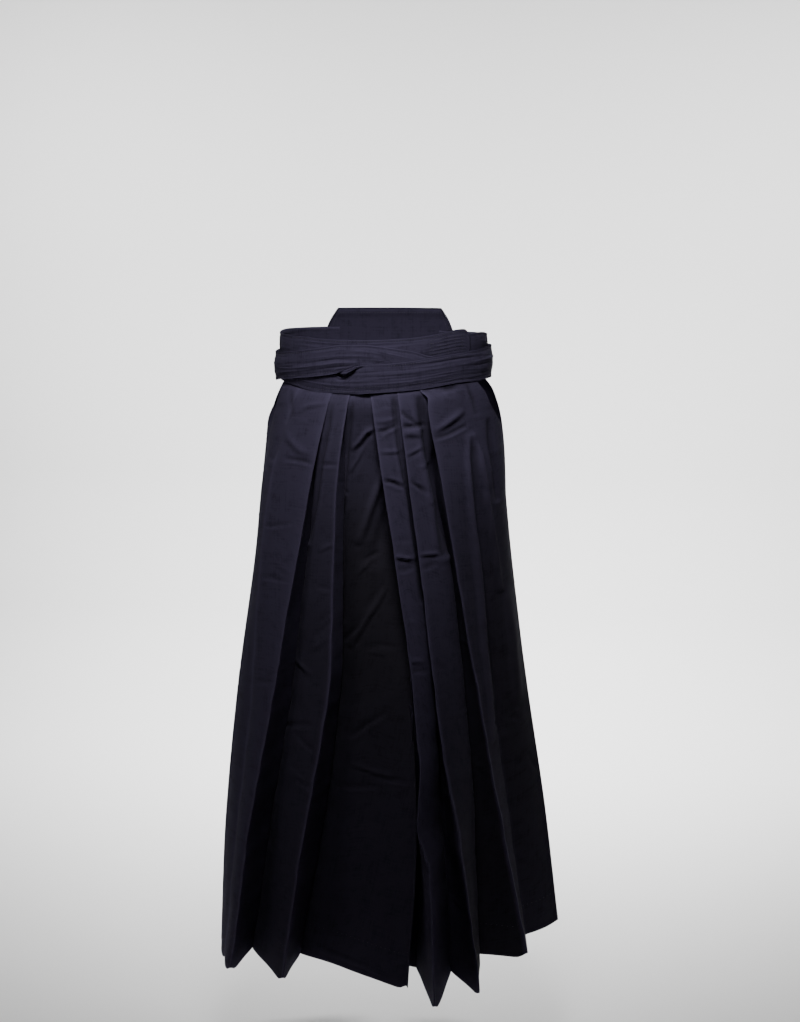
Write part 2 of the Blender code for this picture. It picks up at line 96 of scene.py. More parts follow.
# %% Lights
LIGHTS = {
    "key": dict(at=(0.05, -0.80, 1.15), aim=(0.0, -0.13, 0.08), size=0.40, power=1.65, spread=40),
    "left": dict(at=(-2.2, -1.6, 0.9), aim=(0.0, 0.0, -0.1), size=1.0, power=0.7, spread=50),
    "right": dict(at=(2.3, -1.2, 0.8), aim=(0.0, 0.0, 0.0), size=1.0, power=0.06, spread=50),
    "paper_left": dict(at=(-2.4, 1.3, 1.2), aim=(0.2, 2.7, -0.5), size=1.2, power=45, spread=80),
    "paper_right": dict(at=(2.4, 1.3, 1.2), aim=(-0.2, 2.7, -0.5), size=1.2, power=45, spread=80),
    "paper_foot": dict(at=(0.0, 2.0, 2.4), aim=(0.0, 1.3, -1.12), size=1.2, power=30, spread=60),
}
for name, light in LIGHTS.items():
    data = bpy.data.lights.new(name, "AREA")
    data.size = light["size"]
    data.energy = light["power"]
    data.spread = math.radians(light["spread"])
    made = bpy.data.objects.new(name, data)
    bpy.context.scene.collection.objects.link(made)
    made.location = light["at"]
    aim = Vector(light["aim"]) - made.location
    made.rotation_euler = aim.to_track_quat("-Z", "Y").to_euler()
SURROUND = 0.02
SURROUND_COLOUR = (1.0, 0.92, 0.76, 1)
world = bpy.data.worlds.new("surround")
bpy.context.scene.world = world
world.use_nodes = True
world.node_tree.nodes["Background"].inputs["Color"].default_value = SURROUND_COLOUR
world.node_tree.nodes["Background"].inputs["Strength"].default_value = SURROUND
print("lights", list(LIGHTS))

# %% [markdown]
# The cloth is a plain blend in very dark navy with a fine twill. It is matte, a little dusty at
# grazing angles, and slightly streaked along the threads. The weave follows the cloth, so its
# pattern uses each piece's own measure across and down, in metres. Two painted measures are laid
# over it: a paler colour on edges and crests, partly wear and partly painted highlight, and a
# darker colour on recessed strips and crease troughs, which is painted shade.

# %% Cloth material
TWILL_PITCH = 0.0011
TWILL_SLANT = 58
THREAD_STRETCHES = ((420, 9, 1), (11, 380, 1))
WEAVE_DEPTH = 0.00012
# Edges and crests are painted this much paler, partly wear and partly painted highlight
WORN_AND_HIGHLIT = 2.1
# Tint multiplied in where shade is painted on recessed strips and crease troughs
PAINTED_SHADE_TINT = (0.41, 0.43, 0.33, 1)


def cloth_material(name, colour, streak=0.30):
    """Matte dyed cloth with twill ribs, thread streaks, faint rubbed patches, painted highlight and painted
    shade.
    """
    made = bpy.data.materials.new(name)
    made.use_nodes = True
    tree = made.node_tree
    shader = tree.nodes["Principled BSDF"]
    shader.inputs["Roughness"].default_value = 0.88
    shader.inputs["Specular IOR Level"].default_value = 0.04
    shader.inputs["Sheen Weight"].default_value = 0.02
    shader.inputs["Sheen Roughness"].default_value = 0.5
    shader.inputs["Sheen Tint"].default_value = (0.62, 0.60, 0.80, 1)

    def node(kind, **values):
        n = tree.nodes.new(kind)
        for key, value in values.items():
            if hasattr(n, key):
                setattr(n, key, value)
            else:
                n.inputs[key.replace("_", " ")].default_value = value
        return n

    def link(a, out, b, into):
        tree.links.new(a.outputs[out], b.inputs[into])

    measure = node("ShaderNodeTexCoord")
    # Fine ribs on the slant of the twill
    slant = node("ShaderNodeMapping")
    slant.inputs["Rotation"].default_value = (0, 0, math.radians(TWILL_SLANT))
    slant.inputs["Scale"].default_value = (1 / TWILL_PITCH, 1 / TWILL_PITCH, 1)
    link(measure, "UV", slant, "Vector")
    ribs = node("ShaderNodeTexWave", bands_direction="X", Scale=0.31, Distortion=0.6, Detail=1.0)
    link(slant, "Vector", ribs, "Vector")
    # Streaks along both sets of threads
    streaks = []
    for stretch in THREAD_STRETCHES:
        lengthways = node("ShaderNodeMapping")
        lengthways.inputs["Scale"].default_value = stretch
        link(measure, "UV", lengthways, "Vector")
        noise = node("ShaderNodeTexNoise", Scale=1.0, Detail=3.0, Roughness=0.6)
        link(lengthways, "Vector", noise, "Vector")
        streaks.append(noise)
    both = node("ShaderNodeMath", operation="ADD")
    link(streaks[0], "Fac", both, 0)
    link(streaks[1], "Fac", both, 1)
    patches = node("ShaderNodeTexNoise", Scale=45.0, Detail=5.0, Roughness=0.75)
    link(measure, "UV", patches, "Vector")
    # Colour from dull to rubbed
    mixed = node("ShaderNodeMath", operation="MULTIPLY_ADD")
    link(both, "Value", mixed, 0)
    mixed.inputs[1].default_value = 0.5
    link(patches, "Fac", mixed, 2)
    tone = node("ShaderNodeValToRGB")
    tone.color_ramp.elements[0].position = 0.62
    tone.color_ramp.elements[0].color = (*[c * (1 - streak) for c in colour], 1)
    tone.color_ramp.elements[1].color = (*[c * (1 + streak) for c in colour], 1)
    link(mixed, "Value", tone, "Fac")
    # Edges and crests paler, partly wear and partly painted highlight
    wear_and_highlight_share = node("ShaderNodeAttribute", attribute_name="wear_and_highlight")
    paler_with_highlight = node("ShaderNodeMixRGB", blend_type="MIX")
    link(wear_and_highlight_share, "Fac", paler_with_highlight, "Fac")
    link(tone, "Color", paler_with_highlight, "Color1")
    paler_with_highlight.inputs["Color2"].default_value = (*[c * WORN_AND_HIGHLIT for c in colour], 1)
    # Painted shade: recessed strips and crease troughs darkened
    painted_shade_share = node("ShaderNodeAttribute", attribute_name="painted_shade")
    with_painted_shade = node("ShaderNodeMixRGB", blend_type="MULTIPLY")
    link(painted_shade_share, "Fac", with_painted_shade, "Fac")
    link(paler_with_highlight, "Color", with_painted_shade, "Color1")
    with_painted_shade.inputs["Color2"].default_value = PAINTED_SHADE_TINT
    link(with_painted_shade, "Color", shader, "Base Color")
    # Relief of ribs and threads
    relief = node("ShaderNodeMath", operation="MULTIPLY_ADD")
    link(both, "Value", relief, 0)
    relief.inputs[1].default_value = 0.6
    link(ribs, "Fac", relief, 2)
    bump = node("ShaderNodeBump")
    bump.inputs["Strength"].default_value = 0.5
    bump.inputs["Distance"].default_value = WEAVE_DEPTH
    link(relief, "Value", bump, "Height")
    link(bump, "Normal", shader, "Normal")
    return made


print("twill pitch", TWILL_PITCH)

# %% [markdown]
# One navy serves the whole garment. The ties are handled more, so they are streakier, and the
# board's cover is a shade darker. The sewing thread is a navy near the cloth's own.

# %% Colours of the pieces
NAVY = (0.0305, 0.0262, 0.0465)
MATERIALS = {
    "skirt": cloth_material("skirt_cloth", NAVY),
    "tie": cloth_material("tie_cloth", NAVY, streak=0.42),
    "board": cloth_material("board_cloth", [c * 0.95 for c in NAVY]),
}
THREAD_TONES = ((0.016, 0.014, 0.025, 1), (0.052, 0.046, 0.077, 1))
THREAD = bpy.data.materials.new("navy_thread")
THREAD.use_nodes = True
thread_nodes = THREAD.node_tree.nodes
thread_shader = thread_nodes["Principled BSDF"]
thread_shader.inputs["Roughness"].default_value = 0.7
thread_noise = thread_nodes.new("ShaderNodeTexNoise")
thread_noise.inputs["Scale"].default_value = 400.0
thread_tone = thread_nodes.new("ShaderNodeValToRGB")
for element, colour in zip(thread_tone.color_ramp.elements, THREAD_TONES):
    element.color = colour
THREAD.node_tree.links.new(thread_noise.outputs["Fac"], thread_tone.inputs["Fac"])
THREAD.node_tree.links.new(thread_tone.outputs["Color"], thread_shader.inputs["Base Color"])
print("materials", list(MATERIALS))

# %% [markdown]
# Sizes that the whole garment shares. The waist is an oval, and each layer lies a little deeper
# than the one outside it: ties, band, then the pleats ply under ply.

# %% Shared sizes
WAIST_HALF_WIDTH = 0.169
WAIST_HALF_DEPTH = 0.126
CLOTH = 0.0008
PLY_PITCH = 0.0011
OUTER_TIE = 0.00125
INNER_TIE = 0.0049
BAND_LAYER = 0.0071
PANEL_LAYER = 0.0090
BOARD_LAYER = 0.0022
CROTCH = -0.510
HEM = -0.945
HIP_WIDTH = 0.190
HIP_DEPTH = 0.140
FOLD_HEIGHTS = np.array((0.030, 0.160, 0.290, 0.510, 0.730, 0.945))
PANEL_TOP = 0.036
THIGH = -0.290
ROWS = np.concatenate((np.linspace(PANEL_TOP, THIGH, 122), np.linspace(THIGH, CROTCH, 60)[1:],
                       np.linspace(CROTCH, HEM, 108)[1:]))
CROTCH_ROW = int(np.argmin(np.abs(ROWS - CROTCH)))
print("rows", len(ROWS), "down to the crotch", CROTCH_ROW)

# %% [markdown]
# Most shapes here come from short tables of sizes, so the first helper draws a smooth curve
# through a table's values. The others give the round of the waist, directions and soft bells.

# %% Curves


def smooth(xs, ys, x):
    """Smooth curve through the points, for an array of x, flat past both ends."""
    xs, ys = np.asarray(xs, float), np.asarray(ys, float)
    x = np.clip(np.asarray(x, float), xs[0], xs[-1])
    steps = np.diff(ys) / np.diff(xs)
    before = np.concatenate((steps[:1], steps))
    after = np.concatenate((steps, steps[-1:]))
    slopes = np.where(before * after <= 0, 0.0, (before + after) / 2)
    k = np.clip(np.searchsorted(xs, x, side="left") - 1, 0, len(xs) - 2)
    width = xs[k + 1] - xs[k]
    t = (x - xs[k]) / width
    return ((2 * t**3 - 3 * t**2 + 1) * ys[k] + (t**3 - 2 * t**2 + t) * width * slopes[k]
            + (3 * t**2 - 2 * t**3) * ys[k + 1] + (t**3 - t**2) * width * slopes[k + 1])


def waist_oval(angle, depth):
    """Points of the waist oval by the angle from the front, in degrees, and the depth in it."""
    turn = np.radians(angle)
    return np.stack(((WAIST_HALF_WIDTH - depth) * np.sin(turn),
                     -(WAIST_HALF_DEPTH - depth) * np.cos(turn)), axis=-1)


def unit(v):
    return v / np.maximum(np.linalg.norm(v, axis=-1, keepdims=True), 1e-9)


def unit_bell(x, width):
    """Soft bell over x, 1 where x is 0."""
    return np.exp(-(x / width) ** 2)


print("waist across", 2 * waist_oval(90, 0)[0])

# %% [markdown]
# Every pleat is a fold line down the leg. A row below gives its place across at the waist, hip,
# thigh, crotch, knee and hem, how many plies deep it lies at the waist, its place front to back
# at the other five heights, and the height of its hem. The pressed edges face the centre and
# overlap at the top; the valleys behind them open towards the hem.

# %% Fold tables
RIGHT_FRONT = dict(
    outline=((-0.150, -0.181, -0.196, -0.228, -0.249, -0.258), 0.0,
             (-0.030, -0.040, -0.052, -0.064, -0.074), -0.935),
    crease=((-0.118, -0.160, -0.180, -0.197, -0.219, -0.242), 0.0,
            (-0.082, -0.092, -0.108, -0.122, -0.136), -0.942),
    first_edge=((-0.065, -0.094, -0.118, -0.158, -0.196, -0.224), 0.5,
                (-0.124, -0.133, -0.146, -0.158, -0.171), -0.946),
    first_valley=((-0.087, -0.093, -0.105, -0.134, -0.171, -0.205), 1.5,
                  (-0.112, -0.110, -0.104, -0.099, -0.095), -0.934),
    second_edge=((-0.038, -0.055, -0.061, -0.070, -0.108, -0.137), 2.5,
                 (-0.136, -0.147, -0.168, -0.186, -0.204), -0.946),
    second_valley=((-0.060, -0.047, -0.050, -0.056, -0.086, -0.124), 3.5,
                   (-0.121, -0.127, -0.126, -0.121, -0.114), -0.934),
    inner=((0.006, 0.018, 0.036, 0.060, 0.069, 0.057), 6.6,
           (-0.1225, -0.137, -0.184, -0.203, -0.216), -0.947),
)
LEFT_FRONT = dict(
    crease=((0.124, 0.142, 0.153, 0.176, 0.207, 0.234), 0.0,
            (-0.090, -0.080, -0.064, -0.043, -0.022), -0.925),
    first_edge=((0.069, 0.097, 0.120, 0.158, 0.197, 0.236), 0.5,
                (-0.120, -0.122, -0.112, -0.097, -0.079), -0.942),
    first_valley=((0.091, 0.086, 0.107, 0.132, 0.147, 0.161), 1.5,
                  (-0.108, -0.106, -0.102, -0.096, -0.089), -0.935),
    second_edge=((0.031, 0.050, 0.069, 0.098, 0.136, 0.169), 2.5,
                 (-0.134, -0.149, -0.177, -0.203, -0.227), -0.950),
    second_valley=((0.053, 0.052, 0.067, 0.092, 0.107, 0.120), 3.5,
                   (-0.120, -0.132, -0.147, -0.150, -0.152), -0.940),
    third_edge=((-0.009, 0.0115, 0.033, 0.067, 0.085, 0.101), 4.5,
                (-0.138, -0.158, -0.199, -0.236, -0.268), -0.957),
    third_valley=((0.016, 0.028, 0.045, 0.074, 0.077, 0.080), 5.5,
                  (-0.122, -0.136, -0.172, -0.156, -0.141), -0.940),
    inner=((0.0070, 0.0190, 0.0370, 0.0612, 0.064, 0.068), 6.6,
           (-0.1225, -0.137, -0.184, -0.153, -0.134), -0.938),
)
BACK = dict(
    corner=((0.090, 0.108, 0.122, 0.150, 0.176, 0.200), 0.0,
            (0.110, 0.118, 0.124, 0.128, 0.132), -0.902),
    edge=((0.010, 0.016, 0.022, 0.034, 0.046, 0.058), 0.5,
          (0.133, 0.143, 0.160, 0.174, 0.186), -0.898),
    valley=((0.046, 0.046, 0.049, 0.056, 0.066, 0.076), 1.5,
            (0.119, 0.125, 0.128, 0.131, 0.134), -0.900),
    inner=((0.0004, 0.0004, 0.0004, 0.0004, 0.019, 0.032), 2.0,
           (0.119, 0.124, 0.122, 0.124, 0.127), -0.902),
)
SEAM_RIGHT = ((-0.186, 0.002), (-0.194, 0.010), (-0.223, 0.016), (-0.241, 0.018), (-0.250, 0.020))
SEAM_LEFT = ((0.190, 0.004), (0.199, 0.012), (0.229, 0.018), (0.262, 0.021), (0.288, 0.021))
SEAM_HEM = -0.915
SEAM_GAP = 0.0002
SLIT_FOOT = -0.210
SIDE_EDGES = np.array((
    (0.036, 60.0, 120.0, 0.1585),
    (0.000, 62.0, 114.0, 0.1585),
    (-0.027, 65.0, 106.0, 0.1605),
    (-0.042, 68.0, 102.0, 0.1670),
    (-0.061, 70.5, 99.0, 0.1735),
    (-0.083, 78.0, 96.0, 0.1790),
    (-0.104, 87.0, 94.5, 0.1825),
    (-0.132, 89.2, 93.0, 0.1860),
    (-0.168, 89.4, 91.2, 0.1885),
    (-0.210, 89.4, 90.6, 0.1905),
))
edges = [key for key in (*RIGHT_FRONT, *LEFT_FRONT) if key.endswith("edge")]
print("pleats in front", len(edges))

# %% [markdown]
# The lines of the tables become plan points for all rows at once. The side edge is slanted and
# free from the waist down to the foot of the side opening, and sewn to the back below it.

# %% Lines down the leg
SIDE_DEPTH = 0.118
SIDE_GAINS = {1: 0.10, 2: 0.06}
RIGHT_SIDE_SHARE = 0.978
STRAY_WAVES = (0.045, 0.070, 0.110, 0.190, 0.330)


def row_heights(hem):
    below = CROTCH + (ROWS - CROTCH) * (hem - CROTCH) / (HEM - CROTCH)
    return np.where(ROWS >= CROTCH, ROWS, below)


def fold_line(line):
    """Plan points and heights of one fold of the tables, for every row."""
    xs, plies, ys, hem = line
    z = row_heights(hem)
    depth = PANEL_LAYER + plies * PLY_PITCH
    reach = xs[0] / (WAIST_HALF_WIDTH - depth)
    waist_y = math.copysign(1.0, ys[0]) * (WAIST_HALF_DEPTH - depth) * math.sqrt(1 - reach**2)
    plan = np.stack((smooth(FOLD_HEIGHTS, xs, -z), smooth(FOLD_HEIGHTS, (waist_y, *ys), -z)), axis=1)
    return plan, z


def side_line(seam, edge):
    """Plan points and heights of a side edge, column 1 of the table in front and 2 behind."""
    way = math.copysign(1.0, seam[0][0])
    z = row_heights(SEAM_HEM)
    drops = -SIDE_EDGES[:, 0]

    def free(level):
        angle = np.radians(smooth(drops, SIDE_EDGES[:, edge], -level))
        width = smooth(drops, SIDE_EDGES[:, 3], -level) * (1.0 if way > 0 else RIGHT_SIDE_SHARE)
        depth = SIDE_DEPTH - SIDE_GAINS[edge] * level
        return np.stack((way * width * np.sin(angle), -depth * np.cos(angle)), axis=-1)
    foot = free(np.array([SLIT_FOOT]))[0]
    lengths = np.concatenate(([-SLIT_FOOT], FOLD_HEIGHTS[2:]))
    shift = 0.0 if edge == 1 else SEAM_GAP
    xs = [foot[0]] + [p[0] for p in seam[1:]]
    ys = [foot[1]] + [p[1] + shift for p in seam[1:]]
    sewn = np.stack((smooth(lengths, xs, -z), smooth(lengths, ys, -z)), axis=1)
    plan = np.where(z[:, None] >= SLIT_FOOT, free(np.maximum(z, SLIT_FOOT)), sewn)
    return plan, z


def moved(line, drops, across=None, out=None):
    """The same line, moved sideways and to the front by the amounts at the drops below the waist."""
    plan, z = line
    plan = plan.copy()
    if across is not None:
        plan[:, 0] += smooth(drops, across, -z)
    if out is not None:
        plan[:, 1] -= smooth(drops, out, -z)
    return plan, z


def uneven(line, seed, size=0.0006):
    """A pleat line that strays a little to both sides below the ties."""
    plan, z = line
    chance = np.random.default_rng(seed)
    stray = np.zeros(len(z))
    for wave in STRAY_WAVES:
        swing = np.sin(2 * math.pi * z / wave + chance.uniform(0, 6.3))
        stray += wave**0.5 * swing * chance.uniform(0.5, 1.2)
    plan = plan.copy()
    plan[:, 0] += size * stray * np.clip((-z - 0.05) / 0.25, 0, 2)
    return plan, z


def around(start, end, share):
    """Points part of the way from start to end, following the round of the hips."""
    def polar(p):
        return (np.arctan2(p[:, 0] / HIP_WIDTH, -p[:, 1] / HIP_DEPTH),
                np.hypot(p[:, 0] / HIP_WIDTH, p[:, 1] / HIP_DEPTH))
    (a0, r0), (a1, r1) = polar(start), polar(end)
    gap = (a1 - a0 + math.pi) % (2 * math.pi) - math.pi
    angle, radius = a0 + gap * share, r0 + (r1 - r0) * share
    return np.stack((HIP_WIDTH * radius * np.sin(angle), -HIP_DEPTH * radius * np.cos(angle)), axis=1)


print("side edge at the hem", side_line(SEAM_LEFT, 1)[0][-1].round(3))

# %% [markdown]
# A panel is woven from its stations: free edges, soft lines and pressed folds. A pressed fold is
# a tight half turn, one ply deep, so that plies lie close at the waist and never cross. Between
# stations the cloth follows the hips at the top and hangs flatter towards the hem.

# %% Panels
FOLD_TURN = np.radians((30, 60, 90, 120, 150))
FULLY_OPEN = 0.9
BELLIED = 0.01
MITRE_LIMIT = 0.64


def panel(stations):
    """Grid of points, and the strip number of each column, for a pleated panel.

    A station is (kind, (plan, heights), columns to the next one, belly of that strip).
    """
    opened = np.clip(-ROWS / FULLY_OPEN, 0, 1)[:, None]
    tips = [place[0] for kind, place, between, belly in stations]
    groups = []
    for i, (kind, place, between, belly) in enumerate(stations):
        if kind != "fold":
            groups.append([tips[i]])
            continue
        before, after = tips[i - 1], tips[i + 1]
        total = unit(tips[i] - before) + unit(tips[i] - after)
        outward = unit(total)
        stretch = np.linalg.norm(total, axis=1, keepdims=True) / 2
        across = np.stack((-outward[:, 1], outward[:, 0]), axis=1)
        across *= np.sign(np.sum(across * (before - after), axis=1, keepdims=True))
        r = PLY_PITCH / 2
        groups.append([tips[i] + across * r]
                      + [tips[i] + across * r * math.cos(a) + outward * r * math.sin(a) * stretch
                         for a in FOLD_TURN] + [tips[i] - across * r])
    columns, strips = [], []
    for i, (kind, place, between, belly) in enumerate(stations):
        for points in groups[i]:
            columns.append(np.column_stack((points, place[1])))
            strips.append(i)
        if i + 1 == len(stations):
            break
        start, end = groups[i][-1], groups[i + 1][0]
        next_z = stations[i + 1][1][1]
        for k in range(between):
            share = (k + 1) / (between + 1)
            plan = around(start, end, share)
            plan = plan + (start + (end - start) * share - plan) * opened**2
            swell = math.sin(math.pi * (share**0.6 if belly > BELLIED else share))
            part = opened * (1.0 - opened) if belly > BELLIED else opened
            plan = plan + unit(plan) * belly * part * swell
            columns.append(np.column_stack((plan, place[1] + (next_z - place[1]) * share)))
            strips.append(i + 0.5)
    return np.stack(columns, axis=1), np.array(strips)


def plan_normals(grid):
    """Level normals of every row, longer at corners so that the wall keeps its thickness."""
    steps = unit(np.diff(grid[:, :, :2], axis=1))
    sides = np.stack((-steps[..., 1], steps[..., 0]), axis=-1)
    normals = np.empty(grid.shape[:2] + (2,))
    normals[:, 0], normals[:, -1] = sides[:, 0], sides[:, -1]
    middle = unit(sides[:, :-1] + sides[:, 1:])
    corner = np.sum(middle * sides[:, 1:], axis=-1, keepdims=True)
    normals[:, 1:-1] = middle / np.maximum(MITRE_LIMIT, corner)
    return normals


print("columns in a fold", len(FOLD_TURN) + 2)

# %% [markdown]
# Creases are listed one by one. Each is a line of points across or down the panel, and the cloth
# rises or sinks along it as a soft bell with a slight dip at its foot, the way pressed cloth
# keeps a packing crease. Small ones between them come from a seeded run, and a slow waviness
# grows towards the hem.

# %% Creases
MM = 0.001


def in_metres(creases):
    """Table of creases in millimetres, as crease_field takes it."""
    return [(first, last, width * MM, height * MM, np.array(points) * MM)
            for first, last, width, height, points in creases]


def crease_field(grid, strips, creases):
    """Height added to the panel by its table of creases, each with a slight dip at its foot."""
    total = np.zeros(grid.shape[:2])
    for first, last, width, height, points in creases:
        chosen = (strips > first - 0.1) & (strips < last + 0.1)
        p = grid[:, chosen][..., (0, 2)]
        spans = np.linalg.norm(np.diff(points, axis=0), axis=1)
        starts = np.concatenate(([0], np.cumsum(spans)))
        distance, below, run = (np.full(p.shape[:2], 9.0) for _ in range(3))
        for a, b, span, start in zip(points[:-1], points[1:], spans, starts):
            t = np.clip(((p - a) @ (b - a)) / span**2, 0, 1)
            nearest = a + t[..., None] * (b - a)
            far = np.linalg.norm(p - nearest, axis=-1)
            closer = far < distance
            distance = np.where(closer, far, distance)
            below = np.where(closer, nearest[..., 1] - p[..., 1], below)
            run = np.where(closer, start + t * span, run)
        fade = 0.25 + 0.75 * np.clip(np.sin(math.pi * run / starts[-1]), 0, 1) ** 0.7
        mark = unit_bell(distance, width)
        dip = unit_bell(distance - 1.7 * width, width) * np.clip(below / width, 0, 1)
        total[:, chosen] += height * fade * (mark - 0.5 * dip)
    return total


def small_creases(grid, strips, seed, count=70, size=0.0006):
    """Short shallow creases all over a panel, mostly across it, in metres."""
    chance = np.random.default_rng(seed)
    flats = [s for s in np.unique(strips) if s % 1 > 0.4 and np.sum(strips == s) > 4]
    rows = []
    for k in range(count):
        strip = flats[chance.integers(len(flats))]
        columns = np.where(strips == strip)[0]
        i = chance.integers(int(0.12 * len(grid)), int(0.98 * len(grid)))
        x, z = grid[i, columns[chance.integers(len(columns))]][[0, 2]]
        length = chance.uniform(0.010, 0.045)
        slant = chance.normal(0, 0.45)
        bend = chance.uniform(-0.25, 0.25)
        points = np.array([(x + part * length * math.cos(slant + bend * part),
                            z + part * length * math.sin(slant + bend * part))
                           for part in (-0.5, 0.0, 0.5)])
        height = size * chance.uniform(0.4, 1.3) * chance.choice((-1, 1))
        rows.append((strip, strip, chance.uniform(0.0018, 0.0040), height, points))
    return rows


SLOW_WAVES = 7


def waviness(grid, strips, seed, size):
    """Slow uneven hang of the cloth, none at the folds, more towards the hem."""
    chance = np.random.default_rng(seed)
    z = grid[..., 2]
    spans = np.linalg.norm(np.diff(grid[..., :2], axis=1), axis=-1)
    x = np.cumsum(np.concatenate((np.zeros((len(grid), 1)), spans), axis=1), axis=1)
    total = np.zeros_like(z)
    for wave in range(SLOW_WAVES):
        across = chance.uniform(12, 70)
        down = chance.uniform(3, 26)
        start = chance.uniform(0, 6.3)
        total += np.sin(across * x + start + 0.8 * np.sin(down * z + chance.uniform(0, 6.3)))
    grow = np.clip((-z - 0.02) / 0.9, 0, 1) ** 0.8
    inside = np.array([1.0 if abs(s % 1 - 0.5) < 0.01 else 0.25 for s in strips])
    return total / SLOW_WAVES * size * grow * inside


print("slow waves", SLOW_WAVES)

# %% [markdown]
# A turned-up hem can't keep a sharp corner, so it lifts a little where a pressed edge meets it.
# Just below the tight ties the cloth puffs out, most under the outer tie. The tables give the
# foot of the ties by angle, and how far the cloth stands out by its distance below them.

# %% Hem tips and fullness below the ties
HEM_TIP_RISE = 0.008
HEM_TIP_REACH = 0.009
TIE_FOOT = np.array((
    (-180, 0.0240), (-84, 0.0275), (-64, 0.0285), (-52, 0.0330), (-34, 0.0401), (-17, 0.0418),
    (4, 0.0388), (29, 0.0322), (46, 0.0262), (64, 0.0245), (84, 0.0230), (180, 0.0240)))
PUFF = np.array((
    (-0.010, 0.0), (-0.001, 0.0012), (0.004, 0.0040), (0.014, 0.0064),
    (0.045, 0.0065), (0.110, 0.0050), (0.260, 0.0025), (0.440, 0.0)))
PUFF_UNDER_OUTER = np.array(((-0.006, 0.0), (0.001, 0.0036), (0.008, 0.0026), (0.060, 0.0)))
OUTER_SPAN = np.array(((-4, 0), (8, 1), (70, 1), (100, 0)))


def rounded_hem(grid, strips, tips):
    """Hem lifted a little at its points, because a turned-up hem can't keep a sharp corner."""
    run = np.concatenate(([0], np.cumsum(np.linalg.norm(np.diff(grid[-1], axis=0), axis=1))))
    lift = np.zeros(len(run))
    for tip in tips:
        lift = np.maximum(lift, unit_bell(run - run[strips == tip].mean(), HEM_TIP_REACH))
    hem = grid[-1, :, 2]
    share = np.clip((CROTCH - grid[..., 2]) / (CROTCH - hem[None]), 0, 1)
    out = grid.copy()
    out[..., 2] += HEM_TIP_RISE * lift[None] * share
    return out


def puff(grid):
    """The cloth swells out just below the ties, all plies together."""
    plan = grid[..., :2] / np.array((WAIST_HALF_WIDTH, WAIST_HALF_DEPTH))
    angle = np.degrees(np.arctan2(plan[..., 0], -plan[..., 1]))
    below = -grid[..., 2] - smooth(TIE_FOOT[:, 0], TIE_FOOT[:, 1], angle)
    amount = smooth(PUFF[:, 0], PUFF[:, 1], below)
    under_outer = smooth(OUTER_SPAN[:, 0], OUTER_SPAN[:, 1], angle)
    amount += under_outer * smooth(PUFF_UNDER_OUTER[:, 0], PUFF_UNDER_OUTER[:, 1], below)
    level = unit(grid[..., :2] / np.array((HIP_WIDTH, HIP_DEPTH)) ** 2)
    out = grid.copy()
    out[..., :2] += level * amount[..., None]
    return out


print("lowest foot of the ties", TIE_FOOT[:, 1].max())

# %% [markdown]
# Pressed edges, hems and sharp crests are painted paler: wear along edges and hems, with painted
# highlight on edges and crests. Deep strips and crease troughs are painted darker as painted shade.
# Both are shares from 0 to 1 for every point of the cloth.

# %% Wear, painted highlight and painted shade
EDGE_WEAR_AND_HIGHLIGHT = 0.55
HEM_WEAR = 0.40
# Crests get painted highlight, and troughs get painted shade
CREST_PAINTED_LIGHT = 0.42
SHARP_CREST = 0.0022


def pleat_wear_and_highlight(strips, rows, edges):
    """Wear and painted highlight of a pleated panel, strongest on its pressed front edges, and wear along the
    hem.
    """
    share = np.where(np.isin(strips, edges), EDGE_WEAR_AND_HIGHLIGHT, 0.0)
    for spread in range(2):
        near = np.convolve(share, (0.25, 0.5, 0.25), mode="same")
        share = np.maximum(share, near * 0.9)
    hem = HEM_WEAR * unit_bell(np.arange(rows) - rows + 1, 1.2)[:, None]
    return np.maximum(share[None], hem)


def painted_shade_by_strip(grid, strips, table):
    """Painted shade over a panel, from rows of first and last strip, drops and amounts."""
    total = np.zeros(grid.shape[:2])
    for first, last, drops, amounts in table:
        here = (strips > first - 0.1) & (strips < last + 0.1)
        total = np.maximum(total, here[None] * smooth(drops, amounts, -grid[..., 2]))
    return total


def crest_highlight_and_shade(crests):
    """Share of painted highlight on the sharp crests of creases, or of painted shade in their troughs."""
    return CREST_PAINTED_LIGHT * np.clip(crests / SHARP_CREST, 0, 1)


print("wear of edges", EDGE_WEAR_AND_HIGHLIGHT, "and of crests", CREST_PAINTED_LIGHT)

# %% [markdown]
# Real cloth of this kind is under a millimetre thick. A shell sets both faces out from the grid,
# closes the rim, and lays the weave's measure over it in metres, so that the twill has the same
# pitch on every piece. It also measures the flat cloth that the piece is cut from, before any
# turnings.

# %% Thin shells


def run_along(grid, axis):
    """Length along the cloth from the first point, across a grid or down it."""
    steps = np.linalg.norm(np.diff(grid, axis=axis), axis=-1)
    return np.concatenate((np.zeros_like(steps.take([0], axis=axis)), np.cumsum(steps, axis=axis)), axis=axis)


def placed(name, mesh, material):
    """A smooth piece made of the mesh, with its material and slot, riding on the one body."""
    mesh.polygons.foreach_set("use_smooth", [True] * len(mesh.polygons))
    mesh.materials.append(material)
    made = bpy.data.objects.new(name, mesh)
    bpy.context.scene.collection.objects.link(made)
    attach(made, "root")
    return made


def signed_volume(points, faces):
    """Volume of a closed mesh of four-sided faces, negative when they face inward."""
    p = points[faces]
    first = np.sum(np.cross(p[:, 0], p[:, 1]) * p[:, 2])
    second = np.sum(np.cross(p[:, 0], p[:, 2]) * p[:, 3])
    return float(first + second) / 6


